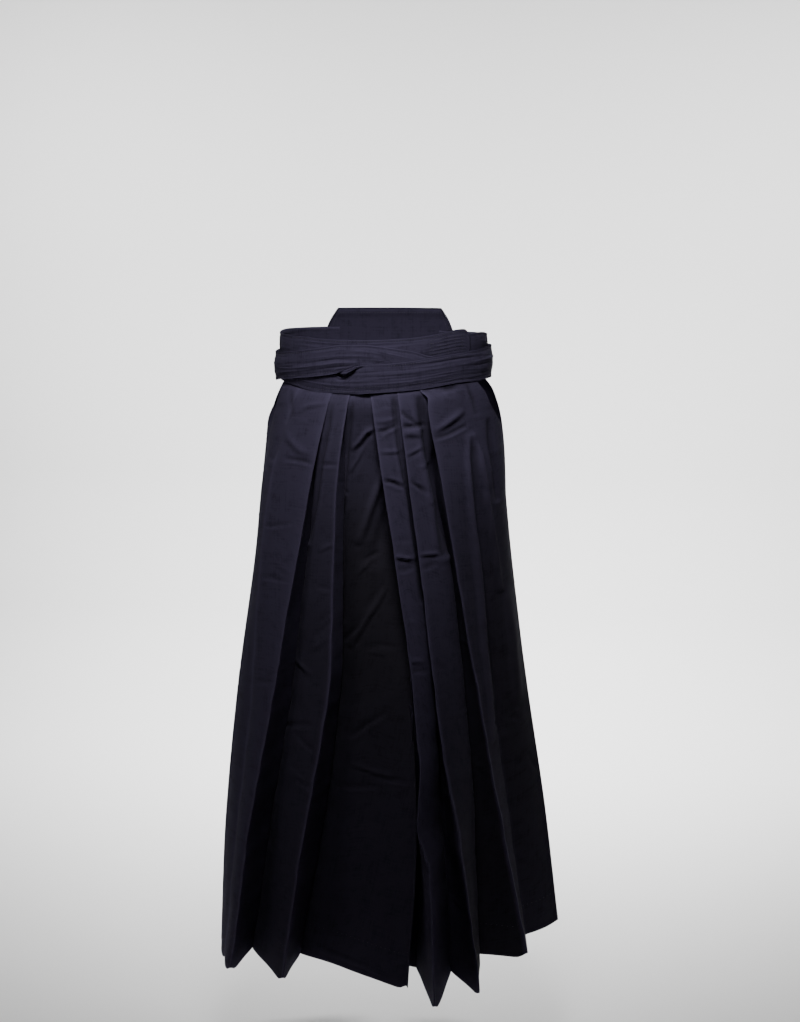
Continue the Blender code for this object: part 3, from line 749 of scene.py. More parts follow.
def shell(name, grid, thickness, lift, material, edge_round=False, wear_and_highlight=0.0, painted_shade=0.0):
    """Closed thin wall about a grid of points, with a measure in metres for the weave.

    Gives the piece, the flat width, length and area of its cloth, and its outer surface.
    """
    rows, columns = grid.shape[:2]
    normals = plan_normals(grid)
    plain = unit(normals)
    middle = grid.copy()
    middle[..., :2] += plain * lift[..., None]
    normals = plan_normals(middle)
    half = np.full((rows, columns), thickness / 2)
    if edge_round:
        u = np.linspace(-1, 1, rows)
        half *= np.sqrt(np.clip(1 - np.abs(u) ** 12, 0.02, 1))[:, None]
    offsets = np.zeros_like(middle)
    offsets[..., :2] = normals * half[..., None]
    points = np.concatenate(((middle + offsets).reshape(-1, 3), (middle - offsets).reshape(-1, 3)))
    index = np.arange(rows * columns).reshape(rows, columns)
    a, b = index[:-1, :-1].ravel(), index[:-1, 1:].ravel()
    c, d = index[1:, 1:].ravel(), index[1:, :-1].ravel()
    front = np.stack((a, b, c, d), axis=1)
    back = np.stack((a, d, c, b), axis=1) + rows * columns
    rim = np.concatenate((index[:, 0], index[-1, 1:], index[-2::-1, -1], index[0, -2::-1]))
    other = rim + rows * columns
    around_rim = np.stack((rim[:-1], rim[1:], other[1:], other[:-1]), axis=1)
    faces = np.concatenate((front, back, around_rim[:, ::-1]))
    across, down = run_along(middle, 1), run_along(middle, 0)
    measure = np.stack((across - across.mean(axis=1, keepdims=True), -down), axis=-1).reshape(-1, 2)
    mesh = bpy.data.meshes.new(name)
    mesh.from_pydata(points.tolist(), [], faces.tolist())
    if signed_volume(points, faces) < 0:
        mesh.flip_normals()
    layer = mesh.uv_layers.new(name="cloth")
    corners = np.empty(len(mesh.loops), dtype=np.int32)
    mesh.loops.foreach_get("vertex_index", corners)
    layer.data.foreach_set("uv", np.tile(measure, (2, 1))[corners].ravel())
    for key, field in (("wear_and_highlight", wear_and_highlight), ("painted_shade", painted_shade)):
        layer = mesh.attributes.new(key, "FLOAT", "POINT")
        layer.data.foreach_set("value", np.tile(np.broadcast_to(field, (rows, columns)).ravel(), 2))
    mesh.update()
    made = placed(name, mesh, material)
    first = np.cross(middle[1:, 1:] - middle[:-1, :-1], middle[1:, :-1] - middle[:-1, 1:])
    area = float(np.linalg.norm(first, axis=-1).sum()) / 2
    width, length = float(across[:, -1].max()), float(down[-1].max())
    area = min(area, width * length)
    print(name, "width", round(width, 3), "length", round(length, 3), "area", round(area, 4),
          "triangles", 2 * len(faces))
    way = np.sign(np.sum(offsets[..., :2] * middle[..., :2], axis=-1).mean())
    return dict(made=made, flat=(width, length), area=area, outer=middle + offsets * way,
                inner=middle - offsets * way)


print("cloth thickness", CLOTH)

# %% [markdown]
# Sewing shows as short raised threads. A row of stitches follows a line on the cloth's outer
# surface: each thread dips into the cloth at both ends and stands a little proud between them.
# A thread is a small five-sided tube through five points.

# %% Stitches
THREAD_RADIUS = 0.00032
THREAD_HEIGHTS = THREAD_RADIUS * np.array((-0.9, 0.35, 0.6, 0.35, -0.9))
THREAD_SIZES = THREAD_RADIUS * np.array((0.55, 1.0, 1.0, 1.0, 0.55))
SIDES_OF_THREAD = 5


def part_of_line(points, start, length):
    """Five even points of a line, from start to start + length."""
    run = np.concatenate(([0], np.cumsum(np.linalg.norm(np.diff(points, axis=0), axis=1))))
    where = start + length * np.linspace(0, 1, 5)
    return np.stack([np.interp(where, run, points[:, k]) for k in range(3)], axis=1)


def stitches(name, rows, length, pitch):
    """One piece with all the threads along rows of points."""
    vertices, faces = [], []
    sides = SIDES_OF_THREAD
    turn = np.linspace(0, 2 * math.pi, sides + 1)[:-1]
    last_ring = sides * (len(THREAD_HEIGHTS) - 1)
    for points in rows:
        total = float(np.linalg.norm(np.diff(points, axis=0), axis=1).sum())
        for start in np.arange(0.3 * pitch, total - length, pitch):
            line = part_of_line(points, start, length)
            ahead = unit(line[-1] - line[0])
            out = unit(np.array((line[2, 0] / HIP_WIDTH**2, line[2, 1] / HIP_DEPTH**2, 0.0)))
            out = unit(out - ahead * np.dot(out, ahead))
            side = np.cross(ahead, out)
            base = len(vertices)
            for point, height, size in zip(line, THREAD_HEIGHTS, THREAD_SIZES):
                centre = point + out * height
                vertices += [centre + side * size * math.cos(a) + out * size * math.sin(a) for a in turn]
            for ring in range(base, base + last_ring, sides):
                for j in range(sides):
                    m = (j + 1) % sides
                    faces.append((ring + j, ring + m, ring + sides + m, ring + sides + j))
            faces.append(tuple(base + j for j in reversed(range(sides))))
            faces.append(tuple(base + last_ring + j for j in range(sides)))
    mesh = bpy.data.meshes.new(name)
    mesh.from_pydata([tuple(v) for v in vertices], [], faces)
    print(name, "stitches", len(vertices) // (last_ring + sides))
    return placed(name, mesh, THREAD)


def surface_line(outer, row_shares, column_shares):
    """Points of a line drawn on a grid, by its shares down and across."""
    rows, columns = outer.shape[:2]
    r = np.clip(np.asarray(row_shares, float), 0, 1) * (rows - 1)
    c = np.clip(np.asarray(column_shares, float), 0, 1) * (columns - 1)
    r, c = np.broadcast_arrays(r, c)
    r0, c0 = np.minimum(r.astype(int), rows - 2), np.minimum(c.astype(int), columns - 2)
    fr, fc = (r - r0)[:, None], (c - c0)[:, None]
    return ((1 - fr) * (1 - fc) * outer[r0, c0] + fr * (1 - fc) * outer[r0 + 1, c0]
            + (1 - fr) * fc * outer[r0, c0 + 1] + fr * fc * outer[r0 + 1, c0 + 1])


print("thread radius", THREAD_RADIUS)

# %% [markdown]
# Both fronts are made the same way from their own tables. Worn pleats stand off each other, so
# the edges move out and the valleys in by their drops below the waist, and no line is quite
# straight. The stations are then woven, creased and worn, with painted highlight on edges and
# crests and painted shade in deep strips and troughs, and the shell replaces the solid.

# %% Making a front
EDGE_DROPS = (0.035, 0.055, 0.090, 0.150, 0.300, 0.500, 0.750, 0.945)
FRONT_WAVES = 0.0035


def worn_lines(lines, outward, uneven_keys, seed):
    """The lines of a front with its pleats standing off each other, and a little uneven."""
    for key, out in outward.items():
        lines[key] = moved(lines[key], EDGE_DROPS, out=out)
    for number, key in enumerate(uneven_keys):
        lines[key] = uneven(lines[key], seed + number)


def front_cloth(name, node, stations, tips, edges, creases, painted_shade, seeds, way):
    """The cloth of one front, worn and with painted highlight and shade, and its grid; way is 1 where the
    grid's normals face out.
    """
    grid, strips = panel(stations)
    grid = rounded_hem(puff(grid), strips, tips)
    crests = crease_field(grid, strips, creases)
    small = crease_field(grid, strips, small_creases(grid, strips, seeds[1]))
    lift = way * (crests + small - waviness(grid, strips, seeds[0], FRONT_WAVES))
    # Edges and crests painted paler, partly wear and partly painted highlight; deep strips and troughs get
    # painted shade
    made = shell(name, grid, CLOTH, lift, MATERIALS["skirt"],
                 wear_and_highlight=np.maximum(pleat_wear_and_highlight(strips, len(grid), edges), crest_highlight_and_shade(crests)),
                 painted_shade=np.maximum(painted_shade_by_strip(grid, strips, painted_shade), crest_highlight_and_shade(-crests)))
    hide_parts(node)
    return made, grid


print("front waves", FRONT_WAVES)

# %% [markdown]
# Strips are numbered from the side to the centre, and a half stands for the flat between two
# folds. The right front has short pulls by the ties, level packing creases, and long slanting
# drag lines on the wide width by the centre. Two deep troughs run beside the pleat edges.

# %% Creases of the right front
# First and last strip, half width and height in millimetres, raised when positive, points as x, z
RIGHT_CREASES = in_metres((
    (4.5, 4.5, 3.2, -5, ((-67, -59), (-73, -97), (-84, -150), (-91, -205), (-103, -269))),
    (6.5, 6.5, 4.2, -6, ((-35, -58), (-41, -97), (-49, -158), (-53, -204), (-53, -297), (-55, -391))),
    (1.5, 2.5, 2.6, -2.7, ((-136, -41), (-133, -77), (-141, -87))),
    (1.5, 2.5, 3, -2, ((-141, -87), (-149, -110), (-157, -132), (-164, -147))),
    (2.5, 2.5, 2.6, 1.7, ((-128, -74), (-111, -63), (-92, -58), (-75, -55))),
    (2.5, 2.5, 5, 1.9, ((-137, -103), (-133, -114), (-118, -127), (-102, -133))),
    (2.5, 2.5, 2.6, -2.2, ((-139, -144), (-123, -143), (-110, -145), (-91, -149))),
    (4.5, 4.5, 2.6, -1.5, ((-84, -149), (-56, -147))),
    (2.5, 2.5, 2.6, -1.4, ((-180, -251), (-158, -247), (-132, -239))),
    (2.5, 2.5, 2.6, -1.5, ((-180, -329), (-162, -325), (-149, -328), (-135, -328))),
    (2.5, 2.5, 2.6, -1.4, ((-189, -491), (-161, -485))),
    (4.5, 4.5, 2.6, -1.5, ((-86, -336), (-63, -336))),
    (4.5, 4.5, 2.6, -2, ((-85, -391), (-75, -380), (-67, -370))),
    (4.5, 4.5, 2.6, -2, ((-89, -413), (-77, -398), (-66, -382))),
    (4.5, 4.5, 2.6, 1.9, ((-97, -435), (-84, -422), (-70, -410))),
    (4.5, 4.5, 2.6, 2, ((-127, -457), (-113, -462), (-103, -470))),
    (4.5, 4.5, 2.6, -2, ((-148, -565), (-121, -554), (-95, -548))),
    (4.5, 4.5, 2.6, -1.9, ((-123, -568), (-108, -578), (-91, -587))),
    (4.5, 4.5, 2.6, 1.4, ((-85, -281), (-71, -271), (-60, -266))),
    (4.5, 4.5, 2.6, -1.5, ((-122, -639), (-100, -641), (-88, -646))),
    (6.5, 6.5, 3.2, 4.1, ((-3, -93), (-15, -100), (-26, -115), (-35, -124))),
    (6.5, 6.5, 2.6, 2.2, ((-20, -124), (-29, -142), (-40, -160))),
    (6.5, 6.5, 2.6, -1.5, ((-51, -192), (-42, -192))),
    (6.5, 6.5, 5, 5.5, ((11, -151), (5, -178), (-6, -209), (-16, -240), (-26, -266))),
    (6.5, 6.5, 10, -6.5, ((22, -180), (16, -225), (7, -264), (-2, -294))),
    (6.5, 6.5, 2.6, -2.4, ((-16, -294), (-5, -288), (6, -282))),
    (6.5, 6.5, 2.6, 2.2, ((-29, -319), (-18, -306), (-5, -294))),
    (6.5, 6.5, 3.2, 4.4, ((14, -339), (3, -361), (-11, -382), (-24, -405), (-38, -429))),
    (6.5, 6.5, 2.6, -2.7, ((-25, -396), (-37, -408), (-49, -423))),
    (6.5, 6.5, 2.6, -1.9, ((6, -337), (-5, -356), (-16, -370))),
    (6.5, 6.5, 2.6, -1.5, ((-15, -430), (9, -423), (37, -426))),
    (6.5, 6.5, 2.6, 1.2, ((-7, -435), (25, -435))),
    (6.5, 6.5, 2.6, -3.6, ((-38, -570), (-24, -559), (-13, -548), (4, -536), (18, -524))),
    (6.5, 6.5, 2.6, 2, ((-36, -612), (-17, -614), (4, -619), (30, -623))),
    (6.5, 6.5, 2.6, -2, ((4, -630), (30, -627), (55, -629))),
    (6.5, 6.5, 2.6, -1.7, ((-48, -651), (-22, -646), (8, -640))),
    (6.5, 6.5, 2.6, -2.7, ((-101, -916), (-72, -922), (-41, -924), (-11, -926), (19, -937))),
    (6.5, 6.5, 3, -1.5, ((19, -916), (38, -904), (54, -892))),
    (2.5, 2.5, 2.6, 1.7, ((-246, -860), (-238, -852), (-229, -842))),
))
print("creases of the right front", len(RIGHT_CREASES))

# %% [markdown]
# The front of the wearer's right leg: two pleats, then the wide plain width by the centre. The
# wide part lies in shade behind the pleats of the other leg, so it carries the darkest painted shade.

# %% Front of the right leg
RIGHT_OUT = dict(
    first_edge=(0, 0.002, 0.004, 0.005, 0.005, 0.004, 0.004, 0.002),
    first_valley=(0, 0.000, -0.005, -0.009, -0.012, -0.012, -0.008, 0.000),
    second_edge=(0, 0.002, 0.003, 0.003, 0.004, 0.004, 0.003, 0.002),
    second_valley=(0, 0.003, -0.004, -0.010, -0.013, -0.012, -0.008, 0.000),
    inner=(0, 0.004, -0.001, -0.010, -0.016, -0.012, -0.004, 0.000))
lines = {key: fold_line(line) for key, line in RIGHT_FRONT.items()}
UNEVEN_LINES = ("crease", "first_edge", "first_valley", "second_edge", "second_valley")
worn_lines(lines, RIGHT_OUT, UNEVEN_LINES, 11)
right_stations = [
    ("edge", side_line(SEAM_RIGHT, 1), 12, 0.001),
    ("point", lines["outline"], 10, 0.003),
    ("point", lines["crease"], 10, 0.003),
    ("fold", lines["first_edge"], 8, 0.0),
    ("fold", lines["first_valley"], 18, 0.038),
    ("fold", lines["second_edge"], 8, 0.0),
    ("fold", lines["second_valley"], 34, 0.034),
    ("edge", lines["inner"], 0, 0.0),
]
# Painted shade by strip: first and last strip, drops below the waist and amounts
RIGHT_PAINTED_SHADE = ((6.0, 7.0, (0.05, 0.16, 0.26, 0.42, 0.70, 0.95), (0.05, 0.40, 0.85, 0.95, 0.60, 0.35)),
             (4.0, 4.5, (0.05, 0.20, 0.45, 0.95), (0.10, 0.24, 0.55, 0.42)))
front_right, right_grid = front_cloth(
    "front_right_cloth", "front_panel_right", right_stations, tips=(1, 2, 3, 5, 7), edges=(2, 3, 5),
    creases=RIGHT_CREASES, painted_shade=RIGHT_PAINTED_SHADE, seeds=(3, 61), way=-1)

# %% [markdown]
# The left front has short pulls where the ties bite, two sharp packing creases across the pleats
# at the thigh, long folds down its side, and a trough beside each of two pleat edges.

# %% Creases of the left front
# First and last strip, half width and height in millimetres, raised when positive, points as x, z
LEFT_CREASES = in_metres((
    (5.5, 5.5, 3.4, -6.5, ((28, -50), (33, -95), (41, -141), (54, -202), (65, -278), (74, -353))),
    (3.5, 3.5, 6, -12, ((67, -50), (76, -96), (84, -143), (97, -205), (106, -283))),
    (5.5, 5.5, 2.6, -3.4, ((0, -98), (14, -96), (25, -91), (34, -88))),
    (5.5, 5.5, 3, 1.5, ((0, -82), (16, -81), (33, -77))),
    (5.5, 5.5, 2.6, -1.4, ((3, -105), (14, -100))),
    (5.5, 5.5, 2.6, 1.9, ((10, -127), (24, -127), (40, -126))),
    (5.5, 5.5, 2.6, -2.6, ((13, -170), (28, -173), (44, -182))),
    (5.5, 5.5, 2.6, 1.5, ((18, -165), (32, -169), (44, -176))),
    (5.5, 5.5, 2.6, 3.4, ((33, -282), (47, -286), (61, -289))),
    (5.5, 5.5, 2.6, -1.9, ((36, -303), (49, -304), (61, -301))),
    (5.5, 5.5, 2.6, 2.7, ((58, -437), (67, -440), (78, -442))),
    (5.5, 5.5, 2.6, -1.9, ((59, -453), (72, -455), (84, -458))),
    (5.5, 5.5, 3, -2.7, ((26, -47), (30, -65), (31, -86))),
    (3.5, 3.5, 2.6, -2.9, ((36, -64), (50, -77), (64, -88))),
    (3.5, 3.5, 3.2, -3.1, ((38, -90), (58, -89), (77, -89))),
    (3.5, 3.5, 4, 2.2, ((42, -100), (56, -100), (70, -102))),
    (3.5, 3.5, 2.6, 1.7, ((47, -133), (59, -126), (70, -120))),
    (3.5, 3.5, 2.6, -2.6, ((57, -171), (65, -179), (77, -191))),
    (3.5, 3.5, 2.6, 1.5, ((61, -170), (71, -180))),
    (3.5, 3.5, 2.6, 2.6, ((71, -281), (84, -281), (98, -283))),
    (3.5, 3.5, 2.6, -1.9, ((72, -303), (83, -300), (93, -298))),
    (3.5, 3.5, 2.6, -1.7, ((93, -446), (101, -453), (111, -459))),
    (3.5, 3.5, 2.6, -1.4, ((122, -626), (139, -635))),
    (1.5, 1.5, 3.2, -2.9, ((98, -35), (109, -35), (120, -33))),
    (1.5, 1.5, 2.6, -1.7, ((108, -38), (113, -46))),
    (1.5, 1.5, 4.6, 3, ((89, -96), (103, -88), (119, -77), (131, -67))),
    (1.5, 1.5, 2.6, -2.7, ((90, -108), (111, -102), (128, -94), (143, -87))),
    (0.5, 1.5, 3.5, 8.2, ((139, -107), (138, -137), (141, -189), (146, -251), (152, -308), (157, -362),
     (163, -442), (172, -509), (179, -583))),
    (0.5, 1.5, 5, -8, ((149, -114), (148, -144), (153, -190), (157, -253), (165, -311), (170, -366),
     (178, -447), (186, -516), (191, -578))),
    (0.5, 0.5, 3, 8.2, ((146, -105), (157, -139), (163, -176), (167, -208), (174, -256), (181, -305),
     (188, -354))),
    (0.5, 0.5, 3, -7.5, ((168, -87), (172, -124), (179, -164), (182, -211))),
    (0.5, 1.5, 2.6, -2.7, ((136, -30), (144, -50), (150, -75))),
    (0.5, 0.5, 8, 6, ((197, -356), (207, -455), (217, -537))),
    (0.5, 0.5, 2.6, -2, ((199, -559), (219, -565))),
    (0.5, 1.5, 2.6, -2, ((181, -560), (190, -571))),
    (0.5, 0.5, 2.6, -2.7, ((233, -632), (243, -648), (249, -658))),
    (0.5, 0.5, 2.6, -1.4, ((198, -632), (221, -640))),
    (0.5, 0.5, 2.6, -1.4, ((215, -800), (234, -808))),
))
print("creases of the left front", len(LEFT_CREASES))

# %% [markdown]
# The front of the wearer's left leg: three pleats. The innermost laps over the centre seam and
# swings to and fro towards the hem, and the outermost hooks in where the tie presses it.

# %% Front of the left leg
lines = {key: fold_line(line) for key, line in LEFT_FRONT.items()}
SWING_DROPS = (0.510, 0.584, 0.638, 0.692, 0.728, 0.753, 0.836, 0.945)
SWING_SHIFTS = (0.000, 0.000, -0.004, -0.009, 0.000, 0.006, 0.004, 0.000)
HOOK_DROPS = (0.030, 0.037, 0.042, 0.047, 0.060, 0.090)
HOOK_SHIFTS = (0.000, -0.005, 0.000, 0.004, 0.002, 0.000)
lines["first_edge"] = moved(lines["first_edge"], HOOK_DROPS, across=HOOK_SHIFTS)
lines["third_edge"] = moved(lines["third_edge"], SWING_DROPS, across=SWING_SHIFTS)
LEFT_OUT = dict(
    first_edge=(0.001, 0.007, 0.009, 0.008, 0.006, 0.004, 0.003, 0.002),
    first_valley=(0, -0.002, -0.009, -0.014, -0.014, -0.012, -0.010, 0.000),
    second_edge=(0, 0.002, 0.004, 0.004, 0.004, 0.004, 0.003, 0.002),
    second_valley=(0, 0.000, -0.004, -0.007, -0.009, -0.008, -0.008, 0.000),
    third_edge=(0, 0.003, 0.004, 0.004, 0.004, 0.003, 0.003, 0.002))
worn_lines(lines, LEFT_OUT, (*UNEVEN_LINES, "third_edge"), 31)
BEHIND_DROPS = (0.510, 0.620, 0.750, 0.945)
lines["third_valley"] = moved(lines["third_valley"], BEHIND_DROPS, across=(0, -0.006, -0.012, -0.016))
lines["inner"] = moved(lines["inner"], BEHIND_DROPS, across=(0, -0.006, -0.014, -0.024))
left_stations = [
    ("edge", side_line(SEAM_LEFT, 1), 20, 0.004),
    ("point", lines["crease"], 12, 0.001),
    ("fold", lines["first_edge"], 10, 0.0),
    ("fold", lines["first_valley"], 20, 0.042),
    ("fold", lines["second_edge"], 10, 0.0),
    ("fold", lines["second_valley"], 18, 0.040),
    ("fold", lines["third_edge"], 14, 0.0),
    ("fold", lines["third_valley"], 4, 0.0),
    ("edge", lines["inner"], 0, 0.0),
]
# Painted shade by strip: first and last strip, drops below the waist and amounts
LEFT_PAINTED_SHADE = ((0.0, 0.5, (0.15, 0.30, 0.95), (0.0, 0.62, 0.70)),
            (1.0, 1.5, (0.15, 0.30, 0.95), (0.0, 0.32, 0.60)),
            (2.5, 3.0, (0.25, 0.50, 0.95), (0.3, 0.70, 0.85)),
            (3.5, 3.5, (0.25, 0.50, 0.95), (0.0, 0.40, 0.92)))
front_left, left_grid = front_cloth(
    "front_left_cloth", "front_panel_left", left_stations, tips=(2, 4, 6), edges=(2, 4, 6),
    creases=LEFT_CREASES, painted_shade=LEFT_PAINTED_SHADE, seeds=(8, 62), way=1)

# %% [markdown]
# The backs are hidden in the picture. Each is one width with a single deep pleat whose edge lies
# by the centre back, as these trousers are sewn, and hangs a little shorter than the front.

# %% Backs of both legs


def mirrored(line):
    xs, plies, ys, hem = line
    return (tuple(-x for x in xs), plies, ys, hem)


BACK_TOP = int(np.argmin(np.abs(ROWS)))
backs = {}
for name, node, seam, turn, seed in (
        ("back_right_cloth", "back_panel_right", SEAM_RIGHT, mirrored, 21),
        ("back_left_cloth", "back_panel_left", SEAM_LEFT, lambda line: line, 34)):
    lines = {key: fold_line(turn(line)) for key, line in BACK.items()}
    for key in ("corner", "edge", "valley"):
        lines[key] = uneven(lines[key], seed + len(key), 0.0009)
    grid, strips = panel([
        ("edge", side_line(seam, 2), 18, 0.006),
        ("point", lines["corner"], 26, 0.004),
        ("fold", lines["edge"], 8, 0.0),
        ("fold", lines["valley"], 10, 0.0),
        ("edge", lines["inner"], 0, 0.0)])
    grid = rounded_hem(puff(grid[BACK_TOP:]), strips, (2,))
    lift = waviness(grid, strips, seed, 0.004)
    lift -= crease_field(grid, strips, small_creases(grid, strips, seed + 60, 90, 0.0012))
    # The pleat edge is painted paler, partly wear and partly painted highlight
    backs[name] = shell(name, grid, CLOTH, lift, MATERIALS["skirt"],
                        wear_and_highlight=pleat_wear_and_highlight(strips, len(grid), (2,)))
    backs[name]["grid"] = grid
    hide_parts(node)

# %% [markdown]
# Inside, each leg is closed by its own piece from the crotch line to the hem. Only their lower
# ends can be seen, between the legs and at the hem. The piece runs through three lines of plan
# points, at the crotch, the knee and the hem, and both its edges bend to the panels beside it.

# %% Inner leg pieces
CROTCH_LINE = ((0.0580, -0.178), (0.044, -0.110), (0.028, -0.040), (0.012, 0.040), (0.000, 0.117))
GUSSETS = {
    "right": dict(
        knee=((0.066, -0.199), (0.036, -0.120), (0.006, -0.040), (-0.012, 0.040), (-0.018, 0.119)),
        hem=((0.053, -0.211), (0.026, -0.125), (-0.006, -0.040), (-0.026, 0.040), (-0.031, 0.122)),
        side=-1, front=right_grid, back="back_right_cloth"),
    "left": dict(
        knee=((0.063, -0.149), (0.055, -0.090), (0.040, -0.030), (0.026, 0.045), (0.018, 0.119)),
        hem=((0.067, -0.131), (0.060, -0.075), (0.048, -0.020), (0.038, 0.050), (0.031, 0.122)),
        side=1, front=left_grid, back="back_left_cloth"),
}
GUSSET_HEMS = (-0.944, -0.935, -0.925, -0.912, -0.904)
KNEE_DROP = 0.730
GUSSET_COLUMNS = 49
APART_AT_CROTCH = 0.00095
BEHIND_EDGE = 0.0009
OFF_PANEL = 0.0006
BENT_HEIGHT = 0.03
BENT_COLUMNS = 14
NEAR_COLUMN = 8
for name, gusset in GUSSETS.items():
    crotch = np.array(CROTCH_LINE)
    slope = np.gradient(crotch, axis=0)
    out = unit(np.stack((slope[:, 1], -slope[:, 0]), axis=1))
    crotch = crotch + out * gusset["side"] * APART_AT_CROTCH
    stations = np.linspace(0, 4, GUSSET_COLUMNS)
    rows = ROWS[CROTCH_ROW:]
    tables = [np.stack([smooth(np.arange(5), np.array(t)[:, k], stations) for k in (0, 1)], axis=1)
              for t in (crotch, gusset["knee"], gusset["hem"])]
    hems = smooth(np.arange(5), GUSSET_HEMS, stations)
    share = (rows - CROTCH) / (HEM - CROTCH)
    grid = np.empty((len(rows), GUSSET_COLUMNS, 3))
    for c in range(GUSSET_COLUMNS):
        for k in (0, 1):
            grid[:, c, k] = smooth((-CROTCH, KNEE_DROP, -HEM), [t[c, k] for t in tables], -rows)
        grid[:, c, 2] = CROTCH + (hems[c] - CROTCH) * share
    ends = ((0, gusset["front"][CROTCH_ROW:]), (-1, backs[gusset["back"]]["grid"][CROTCH_ROW - BACK_TOP:]))
    blend = np.clip((CROTCH - rows) / BENT_HEIGHT, 0, 1)
    for end, neighbour in ends:
        edge, before = neighbour[:, -1, :2], neighbour[:, -3, :2]
        along = unit(edge - before)
        near_end = NEAR_COLUMN if end == 0 else -1 - NEAR_COLUMN
        way = unit(grid[:, near_end, :2] - grid[:, end, :2])
        inward = np.stack((-along[:, 1], along[:, 0]), axis=1)
        inward *= np.sign(np.sum(inward * way, axis=1, keepdims=True))
        lean = np.abs(np.sum(along * way, axis=1, keepdims=True))
        target = edge - along * BEHIND_EDGE + inward * (CLOTH / 2 * (1 + lean) + OFF_PANEL)
        move = (target - grid[:, end, :2]) * blend[:, None]
        for c in range(GUSSET_COLUMNS):
            near = c if end == 0 else GUSSET_COLUMNS - 1 - c
            grid[:, c, :2] += move * max(0.0, 1 - near / BENT_COLUMNS)
    lift = waviness(grid, np.full(GUSSET_COLUMNS, 0.5), 5 + gusset["side"], 0.002)
    lift *= np.sin(np.linspace(0, math.pi, GUSSET_COLUMNS))[None, :]
    inner_leg = shell("gusset_%s_cloth" % name, grid, CLOTH, lift, MATERIALS["skirt"])
    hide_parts("gusset_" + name)

# %% [markdown]
# The hems are turned up and caught with small, well spaced stitches, and the free edges of the
# side openings are sewn back in the same way.

# %% Hem and side stitches
HEM_TURN = 0.955
SIDE_TURN = 0.02
FREE_EDGE = np.linspace(0.02, 0.24, 60)
HEM_STITCH = 0.0022
HEM_PITCH = 0.0085
hemmed = {
    "front_right": front_right,
    "front_left": front_left,
    "back_right": backs["back_right_cloth"],
    "back_left": backs["back_left_cloth"],
}
for name, cloth in hemmed.items():
    columns = 4 * cloth["outer"].shape[1]
    turned_up = surface_line(cloth["outer"], HEM_TURN, np.linspace(0, 1, columns))
    free_edge = surface_line(cloth["outer"], FREE_EDGE, SIDE_TURN)
    thread = stitches(name + "_stitches", [turned_up, free_edge], HEM_STITCH, HEM_PITCH)

# %% [markdown]
# The ties are folded cotton straps about 50 mm wide. They come round from the corners of the
# back board, cross at the front, and are pulled tight, so they show lengthwise creases. Each row
# below gives the angle round the waist from the front, the lower and upper edge, and the depth.

# %% Tables of the ties and the band
RIGHT_TIE = (
    (-133.6, -0.026, 0.024, OUTER_TIE), (-108.0, -0.027, 0.020, OUTER_TIE),
    (-84.0, -0.0290, 0.017, OUTER_TIE), (-64.0, -0.024, 0.0185, OUTER_TIE),
    (-45.0, -0.0195, 0.0232, OUTER_TIE), (-29.0, -0.0145, 0.0289, OUTER_TIE),
    (-20.0, -0.0098, 0.0326, OUTER_TIE), (-16.5, -0.0064, 0.0330, OUTER_TIE),
    (-12.5, -0.0022, 0.0334, OUTER_TIE), (-8.0, 0.0002, 0.0334, 0.0036),
    (-4.0, -0.0005, 0.0330, INNER_TIE), (0.0, 0.0000, 0.0320, INNER_TIE),
    (6.0, 0.0040, 0.0295, INNER_TIE),
    (12.0, -0.0080, 0.0270, INNER_TIE), (20.0, -0.0150, 0.0235, INNER_TIE),
    (29.0, -0.0180, 0.0162, INNER_TIE), (44.0, -0.0200, 0.0140, INNER_TIE),
    (60.0, -0.0180, 0.0140, INNER_TIE))
LEFT_TIE = (
    (-78.0, -0.0235, 0.0030, INNER_TIE), (-68.0, -0.0275, 0.0030, INNER_TIE),
    (-52.0, -0.0330, 0.0030, INNER_TIE), (-34.0, -0.0401, 0.0040, INNER_TIE),
    (-25.0, -0.0415, -0.0070, INNER_TIE), (-19.0, -0.0418, -0.0165, INNER_TIE),
    (-15.0, -0.0418, -0.0128, INNER_TIE), (-12.0, -0.0417, -0.0055, INNER_TIE),
    (-9.0, -0.0416, 0.0012, 0.0026), (-4.0, -0.0404, 0.0038, OUTER_TIE),
    (4.0, -0.0388, 0.0052, OUTER_TIE), (18.0, -0.0355, 0.0090, OUTER_TIE),
    (29.0, -0.0322, 0.0139, OUTER_TIE), (46.0, -0.0262, 0.0195, OUTER_TIE),
    (64.0, -0.0245, 0.0240, OUTER_TIE), (84.0, -0.023, 0.0276, OUTER_TIE),
    (108.0, -0.023, 0.0275, OUTER_TIE), (133.6, -0.024, 0.026, OUTER_TIE))
FRONT_BAND = (
    (-58.0, -0.004, 0.0446, BAND_LAYER), (-45.0, -0.005, 0.0440, BAND_LAYER),
    (-29.0, -0.006, 0.0412, BAND_LAYER), (-11.0, -0.006, 0.0405, BAND_LAYER),
    (4.0, -0.006, 0.0414, BAND_LAYER), (20.0, -0.005, 0.0442, BAND_LAYER),
    (33.0, -0.002, 0.0486, BAND_LAYER), (43.0, 0.001, 0.0532, BAND_LAYER),
    (52.0, 0.003, 0.0552, BAND_LAYER), (55.5, 0.0035, 0.0535, BAND_LAYER),
    (58.0, 0.004, 0.0470, BAND_LAYER))
RIGHT_FIRST_PASS = (
    (-150.0, 0.004, 0.0500, BAND_LAYER), (-110.0, 0.004, 0.0500, BAND_LAYER),
    (-80.0, 0.003, 0.0465, BAND_LAYER), (-57.6, 0.001, 0.0446, BAND_LAYER))
LEFT_FIRST_PASS = (
    (58.6, 0.006, 0.0480, BAND_LAYER), (72.0, 0.009, 0.0490, BAND_LAYER),
    (90.0, 0.008, 0.0455, BAND_LAYER), (115.0, 0.005, 0.0440, BAND_LAYER),
    (150.0, 0.000, 0.0440, BAND_LAYER))


